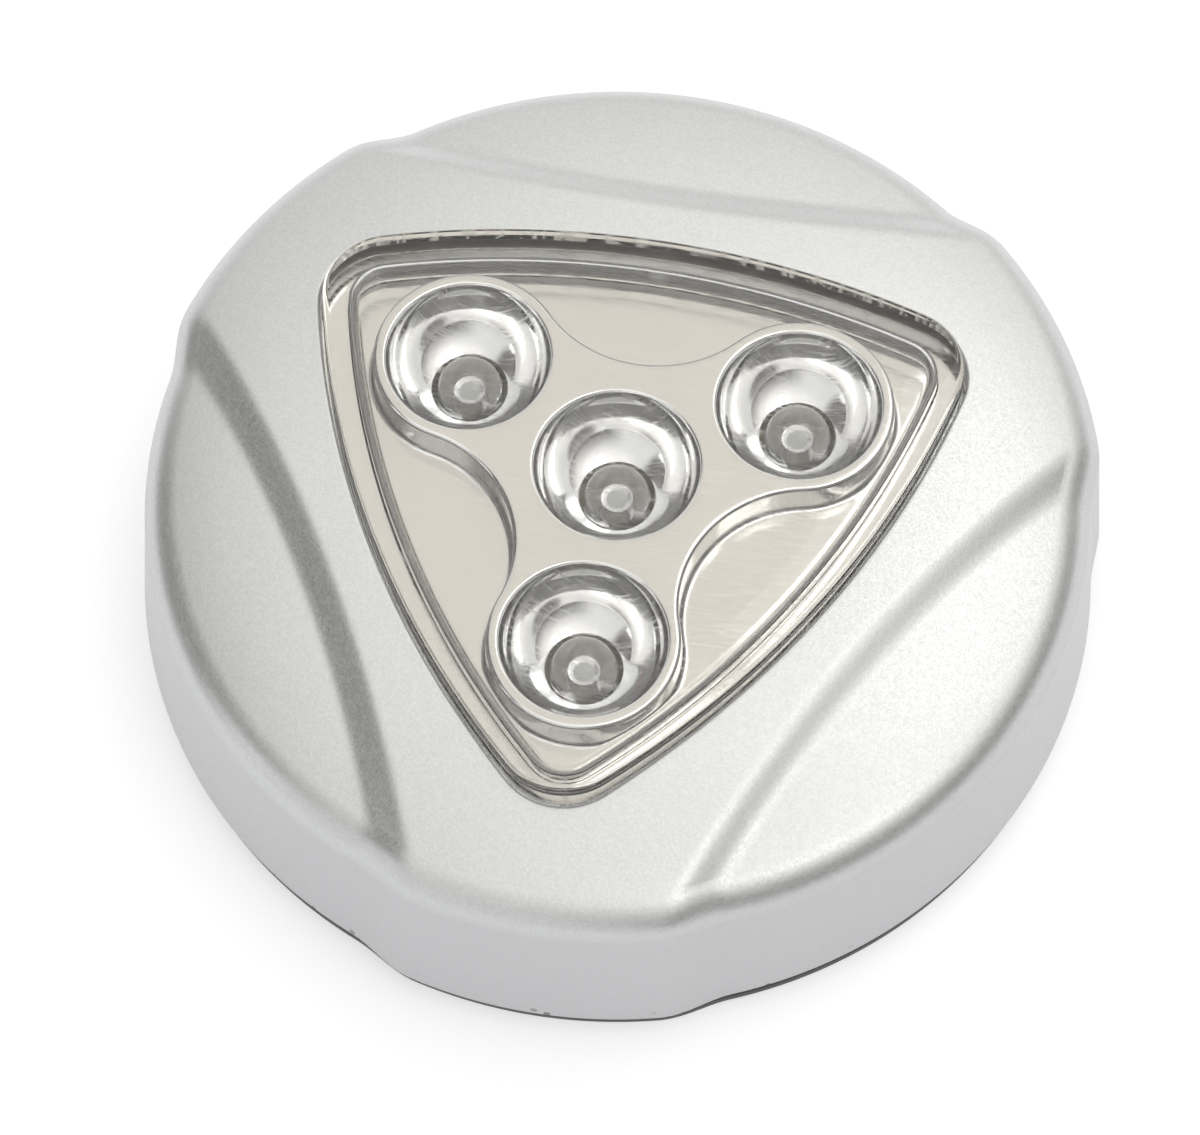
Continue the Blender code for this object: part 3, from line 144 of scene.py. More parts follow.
class LensSizes(bpy.types.PropertyGroup):
    side: length("Side", "Distance of each side's middle from the axis", 19.1)
    bulge: length("Bulge", "Radius of the bulging sides", 71.9)
    corner: length("Corner", "Radius of the corners", 5.1)
    wall: length("Wall", "Thickness of the rim", 2.0)
    top: length("Top", "Thickness of the clear face", 1.5)
    round: length("Round", "Radius of the upper edge", 0.55)
    crown: length("Crown", "How far the face rises towards its middle", 0.15)
    gap: length("Gap", "Clearance to the cover", 0.2)
    flange: length("Flange", "How far the foot stands out under the cover", 0.8)


class MirrorSizes(bpy.types.PropertyGroup):
    margin: length("Margin", "How far the plate reaches past the lens", 1.2)
    step: length("Step", "Height of the trefoil over the low islands", 2.8)
    bowl_radius: length("Bowl radius", "Radius of a bowl's rim", 6.2)
    bowl_depth: length("Bowl depth", "Depth of a bowl down to the LED's hole", 5.1)
    bowl_circle: length("Bowl circle", "Distance of the outer bowls from the axis", 14.5)
    hole_radius: length("Hole radius", "Radius of the hole round an LED", 2.9)
    disc_radius: length("Disc radius", "Radius of the trefoil's three discs", 7.3)
    waist: length("Waist", "Distance of the trefoil's hollows from the axis", 8.9)
    edge_round: length("Edge round", "Radius along the trefoil's edges", 0.35)
    skin: length("Skin", "Thickness of the plated skin", 0.3)


class LedSizes(bpy.types.PropertyGroup):
    radius: length("Radius", "Radius of the clear body", 2.5)
    flange_radius: length("Flange radius", "Radius of the foot", 2.9)
    flange: length("Flange", "Height of the foot", 1.0)
    height: length("Height", "Height of the whole body", 8.6)
    chip_height: length("Chip height", "Height of the lit chip over the foot's underside", 5.6)
    lead: length("Lead", "Width of a square lead", 0.5)
    spacing: length("Lead spacing", "Distance between the two leads", 2.54)


class Finishes(bpy.types.PropertyGroup):
    paint: colour("Paint", "Silver paint of the cover", (0.67, 0.69, 0.69))
    mirror: colour("Mirror", "Plating of the reflector", (0.96, 0.96, 0.955))
    clear: colour("Clear plastic", "Tint of the lens", (0.985, 0.99, 0.99))
    epoxy: colour("Clear epoxy", "Tint of the LEDs", (0.94, 0.955, 0.98))
    phosphor: colour("Phosphor", "Pale layer over the lit chip", (0.52, 0.52, 0.47))
    back: colour("Back plate", "Dark grey plastic of the back", (0.075, 0.075, 0.078))
    housing: colour("Housing", "Black plastic inside", (0.022, 0.022, 0.023))
    foam: colour("Foam", "Adhesive foam on the back", (0.74, 0.73, 0.69))
    cell: colour("Cell wrap", "Printed sleeve of the cells", (0.035, 0.10, 0.24))
    board: colour("Board", "Paper laminate of the circuit board", (0.80, 0.70, 0.42))


# Outlines

def smooth_step(value):
    value = min(max(value, 0.0), 1.0)
    return value * value * (3 - 2 * value)


def at_angle(distance, angle, place=(0, 0)):
    return (place[0] + distance * cos(angle), place[1] + distance * sin(angle))


def off_middle(angle, middle):
    """Angle to a middle, or to the nearer of its two copies a third of a turn on."""
    return abs((angle - middle + THIRD / 2) % THIRD - THIRD / 2)


def ray_to_circle(distance, radius, away):
    return distance * cos(away) + sqrt(radius ** 2 - (distance * sin(away)) ** 2)


def lobed_radius(cover, angle, side_radius, rise):
    away = off_middle(angle, LOBE_ANGLES[0])
    share = (cover.lobe_half + cover.lobe_blend - away) / (2 * cover.lobe_blend)
    return side_radius + rise * smooth_step(share)


def lens_radius(lens, angle, offset):
    """Distance of the lens outline, grown by an offset, in one direction."""
    side = lens.side + offset
    bulge = lens.bulge + offset
    corner = lens.corner + offset
    behind = side - bulge
    half = behind * cos(pi / 3)
    reach = half + sqrt(half ** 2 - behind ** 2 + (bulge - corner) ** 2)
    slope = atan2(reach * sin(pi / 3), reach * cos(pi / 3) - behind)
    away = off_middle(angle, SIDE_ANGLES[0])
    if away <= atan2(bulge * sin(slope), behind + bulge * cos(slope)):
        return ray_to_circle(behind, bulge, away)
    return ray_to_circle(reach, corner, pi / 3 - away)


def trefoil_points(mirror, inset, height):
    """The trefoil's outline, moved in by an inset, as points at one height."""
    disc = mirror.disc_radius - inset
    waist = mirror.waist - inset
    circle = mirror.bowl_circle
    hollow = ((circle ** 2 + waist ** 2 - circle * waist - disc ** 2)
              / (2 * disc - 2 * waist + circle))
    far = waist + hollow
    sweep = atan2(far * sin(pi / 3), far * cos(pi / 3) - circle)
    swing = sweep - pi / 3
    points = []
    for angle in LOBE_ANGLES:
        hub = at_angle(circle, angle)
        for i in range(DISC_STEPS + 1):
            points.append(at_angle(disc, angle - sweep + 2 * sweep * i / DISC_STEPS, hub))
        inwards = angle + pi / 3 + pi
        hub = at_angle(-far, inwards)
        for i in range(1, HOLLOW_STEPS):
            points.append(at_angle(hollow, inwards + swing - 2 * swing * i / HOLLOW_STEPS, hub))
    return [Vector((*point, height)) for point in points]


def ring(radius_at, height):
    """Points round the axis at one height, each at its own distance."""
    angles = [tau * i / ROUND_COUNT for i in range(ROUND_COUNT)]
    return [Vector((*at_angle(radius_at(angle), angle), height)) for angle in angles]


def around(radius, height, place=(0, 0), count=ROUND_COUNT):
    """Points on a circle at one height."""
    return [Vector((*at_angle(radius, tau * i / count, place), height)) for i in range(count)]


def quarter(radius, steps):
    """How far a rounded edge's points lie inside a side and below a top, from the top on."""
    turns = [pi / 2 * i / steps for i in range(steps + 1)]
    return [(radius - radius * sin(t), radius - radius * cos(t)) for t in turns]


def sector(inner, outer, middle, half, steps=10):
    angles = [middle - half + 2 * half * i / steps for i in range(steps + 1)]
    return [at_angle(outer, a) for a in angles] + [at_angle(inner, a) for a in angles[::-1]]


def in_mm(profile, low=0.0):
    """A profile in millimetres, in metres and moved up by a height."""
    return [(radius * MM, low + height * MM) for radius, height in profile]


# Meshes

def bridge(shape, rings, start=None, end=None, closed=False):
    """Faces between rings of equally many points; start and end close the poles."""
    loops = [[shape.verts.new(p) for p in points] for points in rings]
    pairs = list(zip(loops, loops[1:]))
    if closed:
        pairs.append((loops[-1], loops[0]))
    for here, there in pairs:
        for i in range(len(here)):
            j = (i + 1) % len(here)
            shape.faces.new((here[i], here[j], there[j], there[i]))
    for pole, loop in ((start, loops[0]), (end, loops[-1])):
        if pole is not None:
            tip = shape.verts.new(pole)
            for i in range(len(loop)):
                shape.faces.new((loop[i], loop[(i + 1) % len(loop)], tip))
    return loops


def turned(shape, profile, count, place=(0, 0)):
    """A closed solid from (radius, height) points that start and end on the axis."""
    rings = [around(radius, height, place, count) for radius, height in profile[1:-1]]
    bridge(shape, rings, (*place, profile[0][1]), (*place, profile[-1][1]))


def prism(shape, outline, low, high):
    bottom = [shape.verts.new((x, y, low)) for x, y in outline]
    top = [shape.verts.new((x, y, high)) for x, y in outline]
    shape.faces.new(bottom[::-1])
    shape.faces.new(top)
    for i in range(len(outline)):
        j = (i + 1) % len(outline)
        shape.faces.new((bottom[i], bottom[j], top[j], top[i]))


def block(shape, low, high):
    corners = [(low[0], low[1]), (high[0], low[1]), (high[0], high[1]), (low[0], high[1])]
    prism(shape, corners, low[2], high[2])


def mesh_object(name, shape, material, sharp=35, outwards=True):
    """An object of a shape whose edges are sharp past an angle in degrees."""
    if outwards:
        bmesh.ops.recalc_face_normals(shape, faces=shape.faces)
    mesh = bpy.data.meshes.new(name)
    shape.to_mesh(mesh)
    shape.free()
    mesh.materials.append(material)
    mesh.shade_smooth()
    mesh.set_sharp_from_angle(angle=radians(sharp))
    made = bpy.data.objects.new(name, mesh)
    bpy.context.scene.collection.objects.link(made)
    return made


def settle(made):
    """Turns a piece with its modifiers into a plain mesh."""
    graph = bpy.context.evaluated_depsgraph_get()
    mesh = bpy.data.meshes.new_from_object(made.evaluated_get(graph))
    mesh.name = made.name
    made.modifiers.clear()
    made.data = mesh


def fit(made, body, slot, *nodes):
    """A finished piece moves with its body and stands for these nodes."""
    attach(made, body)
    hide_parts(*nodes)


# Nodes that several finishes use

def feed(tree, node, inputs):
    """Gives each input a plain value, or links it to the output that feeds it."""
    for key, value in inputs.items():
        if isinstance(value, bpy.types.NodeSocket):
            tree.links.new(value, node.inputs[key])
        else:
            node.inputs[key].default_value = value


def add_node(tree, kind, inputs=None, **settings):
    made = tree.nodes.new(kind)
    for key, value in settings.items():
        setattr(made, key, value)
    feed(tree, made, inputs or {})
    return made


def calculate(tree, operation, *values):
    """The result of a sum, a comparison or the like."""
    inputs = dict(enumerate(values))
    return add_node(tree, "ShaderNodeMath", inputs, operation=operation).outputs[0]


def axis_of(tree, vector, axis):
    return add_node(tree, "ShaderNodeSeparateXYZ", {"Vector": vector}).outputs[axis]


def spread(tree, mask, low, high, start=0.0, end=1.0, kind="LINEAR"):
    """A value between start and end, moved to between low and high."""
    inputs = {"Value": mask, "From Min": start, "From Max": end, "To Min": low, "To Max": high}
    return add_node(tree, "ShaderNodeMapRange", inputs, interpolation_type=kind).outputs["Result"]


def mixed(tree, under, over, mask, **settings):
    """A colour that goes over into another where the mask is up."""
    inputs = {"A": under, "B": over, "Factor": mask}
    return add_node(tree, "ShaderNodeMix", inputs, data_type="RGBA", **settings).outputs["Result"]


def shaded(tree, base, mask, low, high):
    """A colour that drifts between two strengths of itself."""
    tones = [(*[min(c * share, 1) for c in base], 1) for share in (low, high)]
    return mixed(tree, *tones, mask)


def covered(tree, under, over, mask):
    """A plain colour laid over another where the mask is up."""
    return mixed(tree, under, (*over, 1), mask)


def new_group(name, numbers, outputs):
    """A shared effect that takes a place and some numbers, and gives numbers."""
    tree = bpy.data.node_groups.new(name, "ShaderNodeTree")
    tree.interface.new_socket("Vector", in_out="INPUT", socket_type="NodeSocketVector")
    for label, default in numbers.items():
        socket = tree.interface.new_socket(label, in_out="INPUT", socket_type="NodeSocketFloat")
        socket.default_value = default
    for label in outputs:
        tree.interface.new_socket(label, in_out="OUTPUT", socket_type="NodeSocketFloat")
    return tree, tree.nodes.new("NodeGroupInput").outputs, tree.nodes.new("NodeGroupOutput")


def moulded_grain():
    """Fine bumps and a soft drift of shade, as a mould leaves them."""
    tree, start, end = new_group("moulded_grain", {"Scale": 2500.0}, ["Height", "Drift"])
    here = start["Vector"]
    fine = {"Vector": here, "Scale": start["Scale"], "Detail": 3.0, "Roughness": 0.6}
    soft = {"Vector": here, "Scale": 70.0, "Detail": 2.0}
    feed(tree, end, {"Height": add_node(tree, "ShaderNodeTexNoise", fine).outputs["Fac"],
                     "Drift": add_node(tree, "ShaderNodeTexNoise", soft).outputs["Fac"]})
    return tree


# Turn, cycles a metre across and along, and shift of each set of scratches
SCRATCH_SETS = [(0.4, 9600, 420, 1.3), (1.5, 9100, 390, 4.1), (2.5, 8300, 460, 7.7)]


def hair_scratches():
    """Thin straight scratches in three directions, broken up so that none runs far."""
    tree, start, end = new_group("hair_scratches", {"Amount": 0.5}, ["Mask"])
    masks = []
    for turn, across, along, shift in SCRATCH_SETS:
        lay = add_node(tree, "ShaderNodeMapping", {
            "Vector": start["Vector"], "Rotation": (0, 0, turn), "Location": (shift, shift, 0),
            "Scale": (along, across, along)}).outputs["Vector"]
        lines = add_node(tree, "ShaderNodeTexNoise", {"Vector": lay, "Scale": 1.0, "Detail": 0.0})
        masks.append(spread(tree, lines.outputs["Fac"], 0.0, 1.0, start=0.68, end=0.75))
    most = masks[0]
    for mask in masks[1:]:
        most = calculate(tree, "MAXIMUM", most, mask)
    feed(tree, end, {"Mask": calculate(tree, "MULTIPLY", most, start["Amount"])})
    return tree


def small_specks():
    """Scattered dots of dirt or chipped paint; few cells of the pattern get one."""
    tree, start, end = new_group(
        "small_specks", {"Scale": 500.0, "Share": 0.1, "Size": 0.18}, ["Mask"])
    cells = add_node(tree, "ShaderNodeTexVoronoi", {
        "Vector": start["Vector"], "Scale": start["Scale"]}, feature="F1").outputs
    parts = add_node(tree, "ShaderNodeSeparateColor", {"Color": cells["Color"]})
    near = calculate(tree, "LESS_THAN", cells["Distance"], start["Size"])
    chosen = calculate(tree, "LESS_THAN", parts.outputs["Red"], start["Share"])
    feed(tree, end, {"Mask": calculate(tree, "MULTIPLY", near, chosen)})
    return tree


GROUPS = {}


def use_group(tree, make, here, **values):
    """Places a shared effect in a material with its own values, and gives its outputs."""
    if make.__name__ not in GROUPS:
        GROUPS[make.__name__] = make()
    return add_node(tree, "ShaderNodeGroup", {"Vector": here, **values},
                    node_tree=GROUPS[make.__name__]).outputs


def start_material(name, grain_scale, **plain):
    """A material with plain values set, its shader, the object's coordinates and a grain."""
    made = bpy.data.materials.new(name)
    made.use_nodes = True
    tree = made.node_tree
    shader = tree.nodes["Principled BSDF"]
    feed(tree, shader, {key.replace("_", " "): value for key, value in plain.items()})
    here = add_node(tree, "ShaderNodeTexCoord").outputs["Object"]
    return made, tree, shader, here, use_group(tree, moulded_grain, here, Scale=grain_scale)


def upwards(tree):
    """How far a face looks up."""
    return axis_of(tree, tree.nodes["Texture Coordinate"].outputs["Normal"], "Z")


def surface(tree, shader, tint, roughness, height, depth):
    """Feeds a shader, with bumps of a depth in millimetres."""
    bumps = {"Height": height, "Strength": 1.0, "Distance": depth * MM}
    feed(tree, shader, {"Base Color": tint, "Roughness": roughness,
                        "Normal": add_node(tree, "ShaderNodeBump", bumps).outputs["Normal"]})


def blended(tree, mask, first, second):
    """Shows a second shader instead of the first where the mask is up."""
    mix = add_node(tree, "ShaderNodeMixShader", {"Fac": mask, 1: first, 2: second})
    feed(tree, tree.nodes["Material Output"], {"Surface": mix.outputs["Shader"]})


# Finishes

def silver_paint(base):
    """Flaked paint, chipped here and there and worn at the edge, with painted shade on faces that
    look sideways; inside there is none.
    """
    made, tree, shader, here, grain = start_material("silver_paint", 2200.0)
    side_shade_tone, mark_tone, bare_tone = (0.54, 0.545, 0.565), (0.10, 0.09, 0.085), (0.86, 0.86, 0.85)
    cells = add_node(tree, "ShaderNodeTexVoronoi", {"Vector": here, "Scale": 7500.0})
    flakes = add_node(tree, "ShaderNodeSeparateColor", {"Color": cells.outputs["Color"]}).outputs
    edge, bare = (add_node(tree, "ShaderNodeAttribute", attribute_name=name).outputs["Fac"]
                  for name in ("edge", "bare"))
    chips = use_group(tree, small_specks, here, Scale=330.0, Share=0.02, Size=0.07)
    rim = use_group(tree, small_specks, here, Scale=900.0, Share=0.16, Size=0.24)
    worn = calculate(tree, "MULTIPLY", rim["Mask"], edge)
    marks = calculate(tree, "MAXIMUM", chips["Mask"], worn)
    coat = mixed(tree, shaded(tree, base, flakes["Red"], 0.95, 1.06),
                 shaded(tree, (1, 1, 1), grain["Drift"], 0.95, 1.0), 1.0, blend_type="MULTIPLY")
    # Painted shade: faces that look sideways get a darker, cooler grey tone
    wall = spread(tree, upwards(tree), 0.8, 0.0, start=0.2, end=0.65)
    for tone, mask in ((side_shade_tone, wall), (mark_tone, marks), (bare_tone, bare)):
        coat = covered(tree, coat, tone, mask)
    feed(tree, shader, {"Metallic": spread(tree, bare, 0.75, 0.0)})
    height = calculate(tree, "MULTIPLY_ADD", flakes["Blue"], 0.35, grain["Height"])
    surface(tree, shader, coat, spread(tree, flakes["Green"], 0.32, 0.44), height, 0.008)
    return made


def mirror_plating(base):
    """Bright plating with fine scratches, with a painted reflection that makes the flats duller and
    warmer.
    """
    made, tree, shader, here, grain = start_material("mirror_plating", 260.0, Metallic=1.0)
    flat_reflection_tone = [c * share for c, share in zip(base, (0.53, 0.51, 0.47))]
    scratches = use_group(tree, hair_scratches, here, Amount=0.6)
    # Painted reflection: faces that look up are darkened and warmed to stand for the dim warm room
    # they mirror
    flat = spread(tree, upwards(tree), 0.0, 0.85, start=0.93, end=0.995)
    bright = shaded(tree, base, grain["Drift"], 0.93, 1.03)
    surface(tree, shader, covered(tree, bright, flat_reflection_tone, flat),
            spread(tree, scratches["Mask"], 0.07, 0.38), grain["Height"], 0.016)
    return made


def see_through(name, base, index, scratches_amount, clarity):
    """Clear plastic that lets lamp light through to what is behind it."""
    made, tree, shader, here, grain = start_material(
        name, 120.0, Transmission_Weight=clarity, IOR=index, Metallic=0.0)
    scratches = use_group(tree, hair_scratches, here, Amount=scratches_amount)
    surface(tree, shader, shaded(tree, base, grain["Drift"], 0.985, 1.0),
            spread(tree, scratches["Mask"], 0.005, 0.3), grain["Height"], 0.004)
    through = add_node(tree, "ShaderNodeBsdfTransparent", {"Color": (0.93, 0.93, 0.93, 1)})
    shadow = add_node(tree, "ShaderNodeLightPath").outputs["Is Shadow Ray"]
    blended(tree, shadow, shader.outputs["BSDF"], through.outputs["BSDF"])
    return made


def moulded_plastic(name, base, low_gloss, high_gloss, grain_scale, depth):
    """Grained plastic with a little pale dust."""
    made, tree, shader, here, grain = start_material(name, grain_scale)
    dust_tone = [c + (0.5 - c) * 0.35 for c in base]
    dust = use_group(tree, small_specks, here, Scale=700.0, Share=0.03, Size=0.12)
    plain = shaded(tree, base, grain["Drift"], 0.82, 1.18)
    surface(tree, shader, covered(tree, plain, dust_tone, dust["Mask"]),
            spread(tree, grain["Drift"], low_gloss, high_gloss), grain["Height"], depth)
    return made


def drawn_metal(name, base, gloss):
    made, tree, shader, here, grain = start_material(name, 3500.0, Metallic=1.0)
    scratches = use_group(tree, hair_scratches, here, Amount=0.8)
    surface(tree, shader, shaded(tree, base, grain["Drift"], 0.8, 1.1),
            spread(tree, scratches["Mask"], gloss, gloss + 0.3), grain["Height"], 0.006)
    return made


def adhesive_foam(base):
    """Foam with painted shade: a cell pattern darkens it to stand for shade in the cells' hollows.
    """
    made, tree, shader, here, grain = start_material("adhesive_foam", 900.0)
    cells = add_node(tree, "ShaderNodeTexVoronoi", {"Vector": here, "Scale": 2600.0})
    # Painted shade for the cells' hollows, from the distance to each cell's middle
    hollow = spread(tree, cells.outputs["Distance"], -0.2, 0.35)
    plain = shaded(tree, base, grain["Drift"], 0.86, 1.06)
    surface(tree, shader, covered(tree, plain, [c * 0.6 for c in base], hollow),
            spread(tree, grain["Height"], 0.78, 0.98), cells.outputs["Distance"], 0.06)
    return made


def cell_sleeve(number, angle, base):
    """A printed sleeve with a pale band at the plus end, and bare steel past the can's edges."""
    made, tree, shader, here, grain = start_material(f"cell_sleeve_{number}", 1500.0)
    band_start, sleeve_end = 13.5 * MM, 21.3 * MM
    band_tone, steel_tone = (0.62, 0.63, 0.64), (0.66, 0.65, 0.62)
    lay = add_node(tree, "ShaderNodeMapping", {"Vector": here, "Rotation": (0, 0, -angle)})
    along = axis_of(tree, lay.outputs["Vector"], "Y")
    band = calculate(tree, "GREATER_THAN", along, band_start)
    bare = calculate(tree, "GREATER_THAN", calculate(tree, "ABSOLUTE", along), sleeve_end)
    sleeve = covered(tree, shaded(tree, base, grain["Drift"], 0.85, 1.15), band_tone, band)
    feed(tree, shader, {"Metallic": bare})
    surface(tree, shader, covered(tree, sleeve, steel_tone, bare),
            spread(tree, grain["Height"], 0.25, 0.42), grain["Height"], 0.008)
    return made


# Place along the body in millimetres, and colour
RESISTOR_BANDS = [(-4.6, (0.30, 0.12, 0.03)), (-3.9, (0.015, 0.015, 0.015)),
                  (-3.2, (0.25, 0.08, 0.02)), (-2.3, (0.55, 0.38, 0.08))]


def banded_resistor(base):
    """A beige body with four colour bands across it."""
    made, tree, shader, here, grain = start_material("banded_resistor", 1800.0)
    half_band = 0.17 * MM
    along = axis_of(tree, here, "Y")
    shown = shaded(tree, base, grain["Drift"], 0.88, 1.1)
    for place, tone in RESISTOR_BANDS:
        away = calculate(tree, "ABSOLUTE", calculate(tree, "SUBTRACT", along, place * MM))
        shown = covered(tree, shown, tone, calculate(tree, "LESS_THAN", away, half_band))
    surface(tree, shader, shown, spread(tree, grain["Height"], 0.3, 0.5), grain["Height"], 0.01)
    return made


def paper_laminate(base):
    """Pale resin-soaked paper with a faint weave, under a gloss."""
    made, tree, shader, here, grain = start_material("paper_laminate", 2400.0)
    weave = add_node(tree, "ShaderNodeTexWave", {
        "Vector": here, "Scale": 900.0, "Distortion": 3.0, "Detail": 2.0}).outputs["Fac"]
    plain = shaded(tree, base, grain["Drift"], 0.88, 1.12)
    threads = spread(tree, weave, 0, 0.5)
    surface(tree, shader, covered(tree, plain, [c * 0.8 for c in base], threads),
            spread(tree, grain["Height"], 0.25, 0.42), weave, 0.01)
    return made


# Front cover

def cover_height(cover, x, y):
    """Height of the cover's face: a flat dome, one step lower on the three sides."""
    height = COVER_FACE - cover.drop * (hypot(x, y) / cover.rim_radius) ** cover.dome_power
    across = cover.step_end * sin(cover.step_angle)
    sag = cover.step_end * cos(cover.step_angle) - cover.step_middle
    bow = (across ** 2 + sag ** 2) / (2 * sag)
    inside = -bow
    for angle in SIDE_ANGLES:
        hub_x, hub_y = at_angle(cover.step_middle + bow, angle)
        inside = max(inside, bow - hypot(x - hub_x, y - hub_y))
    return height - cover.step_depth * smooth_step(inside / cover.step_width + 1 / 2)


def cover_profile(cover, lens, angle):
    """The cover's section in one direction, as a closed line of (radius, height) points."""
    wall = lobed_radius(cover, angle, cover.side_radius, cover.lobe_rise)
    slope = atan(cover.drop * cover.dome_power / cover.rim_radius)
    start = lens_radius(lens, angle, lens.gap)
    hub_radius = wall - cover.draft - cover.fillet
    small = cover.edge_round
    first = start + small
    last = hub_radius + cover.fillet * sin(slope)
    face = []
    for i in range(FACE_ROWS + 1):
        radius = first + (last - first) * i / FACE_ROWS
        face.append((radius, cover_height(cover, *at_angle(radius, angle))))
    hub_height = face[-1][1] - cover.fillet * cos(slope)
    for i in range(1, FILLET_ROWS + 1):
        lean = slope + (pi / 2 - slope) * i / FILLET_ROWS
        face.append((hub_radius + cover.fillet * sin(lean), hub_height + cover.fillet * cos(lean)))
    top_radius, top_height = face[-1]
    for i in range(1, WALL_ROWS + 1):
        share = i / WALL_ROWS
        face.append((top_radius + (wall - top_radius) * share,
                     top_height + (COVER_EDGE + small - top_height) * share))
    edge = quarter(small, EDGE_ROWS)
    opening = [(start + b, face[0][1] - a) for a, b in edge[:-1]]
    lower = [(wall - b, COVER_EDGE + a) for a, b in edge[1:]]
    inner = []
    for i in range(len(face) - 1, -1, -2):
        before = face[max(i - 1, 0)]
        after = face[min(i + 1, len(face) - 1)]
        along = Vector((after[0] - before[0], after[1] - before[1])).normalized()
        height = max(face[i][1] - cover.wall * along.x, COVER_EDGE)
        inner.append((face[i][0] + cover.wall * along.y, height))
    inner.append((start, inner[-1][1]))
    return opening + face + lower + inner


def add_stud(shape, cover, place, profile, count):
    """A turned form under the face, from the middle of its wall."""
    top = cover_height(cover, *place) - cover.wall / 2
    points = in_mm(profile)
    turned(shape, [(0, top), (points[0][0], top)] + points, count, place)


def mark_edge(mesh):
    """Marks the lower edge, where the paint is worn, and the inside, where there is none."""
    worn_height = 1.2 * MM
    painted = ROUND_COUNT * (FACE_ROWS + 1 + FILLET_ROWS + WALL_ROWS + 2 * EDGE_ROWS)
    near = [smooth_step(1 - (v.co.z - COVER_EDGE) / worn_height) for v in mesh.vertices]
    bare = [float(i >= painted) for i in range(len(mesh.vertices))]
    for name, values in (("edge", near), ("bare", bare)):
        mesh.attributes.new(name, "FLOAT", "POINT").data.foreach_set("value", values)


class MakeFrontCover(bpy.types.Operator):
    """Make the silver painted cover with its three raised lobes"""
    bl_idname = "cabinet_light.front_cover"
    bl_label = "Front cover"

    def execute(self, context):
        cover = context.scene.light_cover
        lens = context.scene.light_lens
        sections = []
        for i in range(ROUND_COUNT):
            angle = tau * i / ROUND_COUNT
            sections.append([Vector((*at_angle(radius, angle), height))
                             for radius, height in cover_profile(cover, lens, angle)])
        shape = bmesh.new()
        bridge(shape, [list(row) for row in zip(*sections)], closed=True)
        for angle in SIDE_ANGLES:
            add_stud(shape, cover, at_angle(GUIDE_CIRCLE * MM, angle), GUIDE_BOSS, 32)
            add_stud(shape, cover, at_angle(PIN_CIRCLE * MM, angle), PIN, 24)
        paint = silver_paint(context.scene.light_finishes.paint)
        made = mesh_object("cover_shell", shape, paint, sharp=50)
        mark_edge(made.data)
        fit(made, "cover", "silver_paint", "front_cover")
        return {"FINISHED"}


# Lens

def lens_foot(lens):
    """Offsets and heights round the foot, from the outer wall to the inner one."""
    foot = LENS_LOW + 0.8 * MM
    hollow, bend, edge = 0.2 * MM, 0.06 * MM, 0.1 * MM
    return [(0, foot + hollow), (bend, foot + bend), (hollow, foot),
            (lens.flange - edge, foot), (lens.flange, foot - edge),
            (lens.flange, LENS_LOW + edge), (lens.flange - edge, LENS_LOW),
            (-lens.wall + edge, LENS_LOW), (-lens.wall, LENS_LOW + edge)]


class MakeLens(bpy.types.Operator):
    """Make the clear cap with its thick rim and its foot"""
    bl_idname = "cabinet_light.lens"
    bl_label = "Lens"

    def execute(self, context):
        lens = context.scene.light_lens
        inner = 0.9 * MM
        under = LENS_HIGH - lens.top

        def outline(offset, height, share=1.0):
            return ring(lambda a: lens_radius(lens, a, offset) * share, height)

        rings = []
        for i in range(1, CROWN_ROWS + 1):
            share = i / CROWN_ROWS
            rings.append(outline(-lens.round, LENS_HIGH - lens.crown * share ** 2, share))
        walls = [(-a, LENS_HIGH - lens.crown - b) for a, b in quarter(lens.round, 8)[1:]]
        walls += lens_foot(lens)
        walls += [(-lens.wall - b, under - a) for a, b in quarter(inner, 8)]
        rings += [outline(offset, height) for offset, height in walls]
        rings += [outline(-lens.wall - inner, under, i / UNDER_ROWS)
                  for i in range(UNDER_ROWS - 1, 0, -1)]
        shape = bmesh.new()
        bridge(shape, rings, (0, 0, LENS_HIGH), (0, 0, under))
        finish = see_through("clear_plastic", context.scene.light_finishes.clear, 1.49, 0.8, 1.0)
        made = mesh_object("lens_cap", shape, finish, sharp=40)
        fit(made, "cover", "clear_plastic", "lens")
        return {"FINISHED"}


# Reflector

def trefoil_wall(mirror, island):
    small = mirror.edge_round
    lean, foot, flat = 0.15 * MM, 0.15 * MM, 0.12 * MM
    edge = quarter(small, 6)
    line = [(-small - foot, island)] + [(-a, island + b) for a, b in edge]
    line += [(lean + b, PLATEAU_TOP - a) for a, b in edge]
    line.append((lean + small + flat, PLATEAU_TOP))
    return [trefoil_points(mirror, inset, height) for inset, height in line]


def bowl(mirror, place):
    small, flat, collar = 0.22 * MM, 0.1 * MM, 0.7 * MM
    wide = mirror.bowl_radius
    deep = mirror.bowl_depth / sqrt(1 - (mirror.hole_radius / wide) ** 2)
    profile = [(wide + small + flat, PLATEAU_TOP)]
    profile += [(wide + a, PLATEAU_TOP - b) for a, b in quarter(small, 4)]
    first, last = asin(small / deep), acos(mirror.hole_radius / wide)
    for i in range(1, BOWL_ROWS + 1):
        lean = first + (last - first) * i / BOWL_ROWS
        profile.append((wide * cos(lean), PLATEAU_TOP - deep * sin(lean)))
    profile.append((mirror.hole_radius, PLATEAU_TOP - mirror.bowl_depth - collar))
    return [around(radius, height, place, BOWL_COUNT) for radius, height in profile]


def fill(shape, loops):
    """Flat faces inside the first loop and outside the others."""
    corners = [v for loop in loops for v in loop]
    for triangle in tessellate_polygon([[v.co for v in loop] for loop in loops]):
        shape.faces.new([corners[i] for i in triangle])


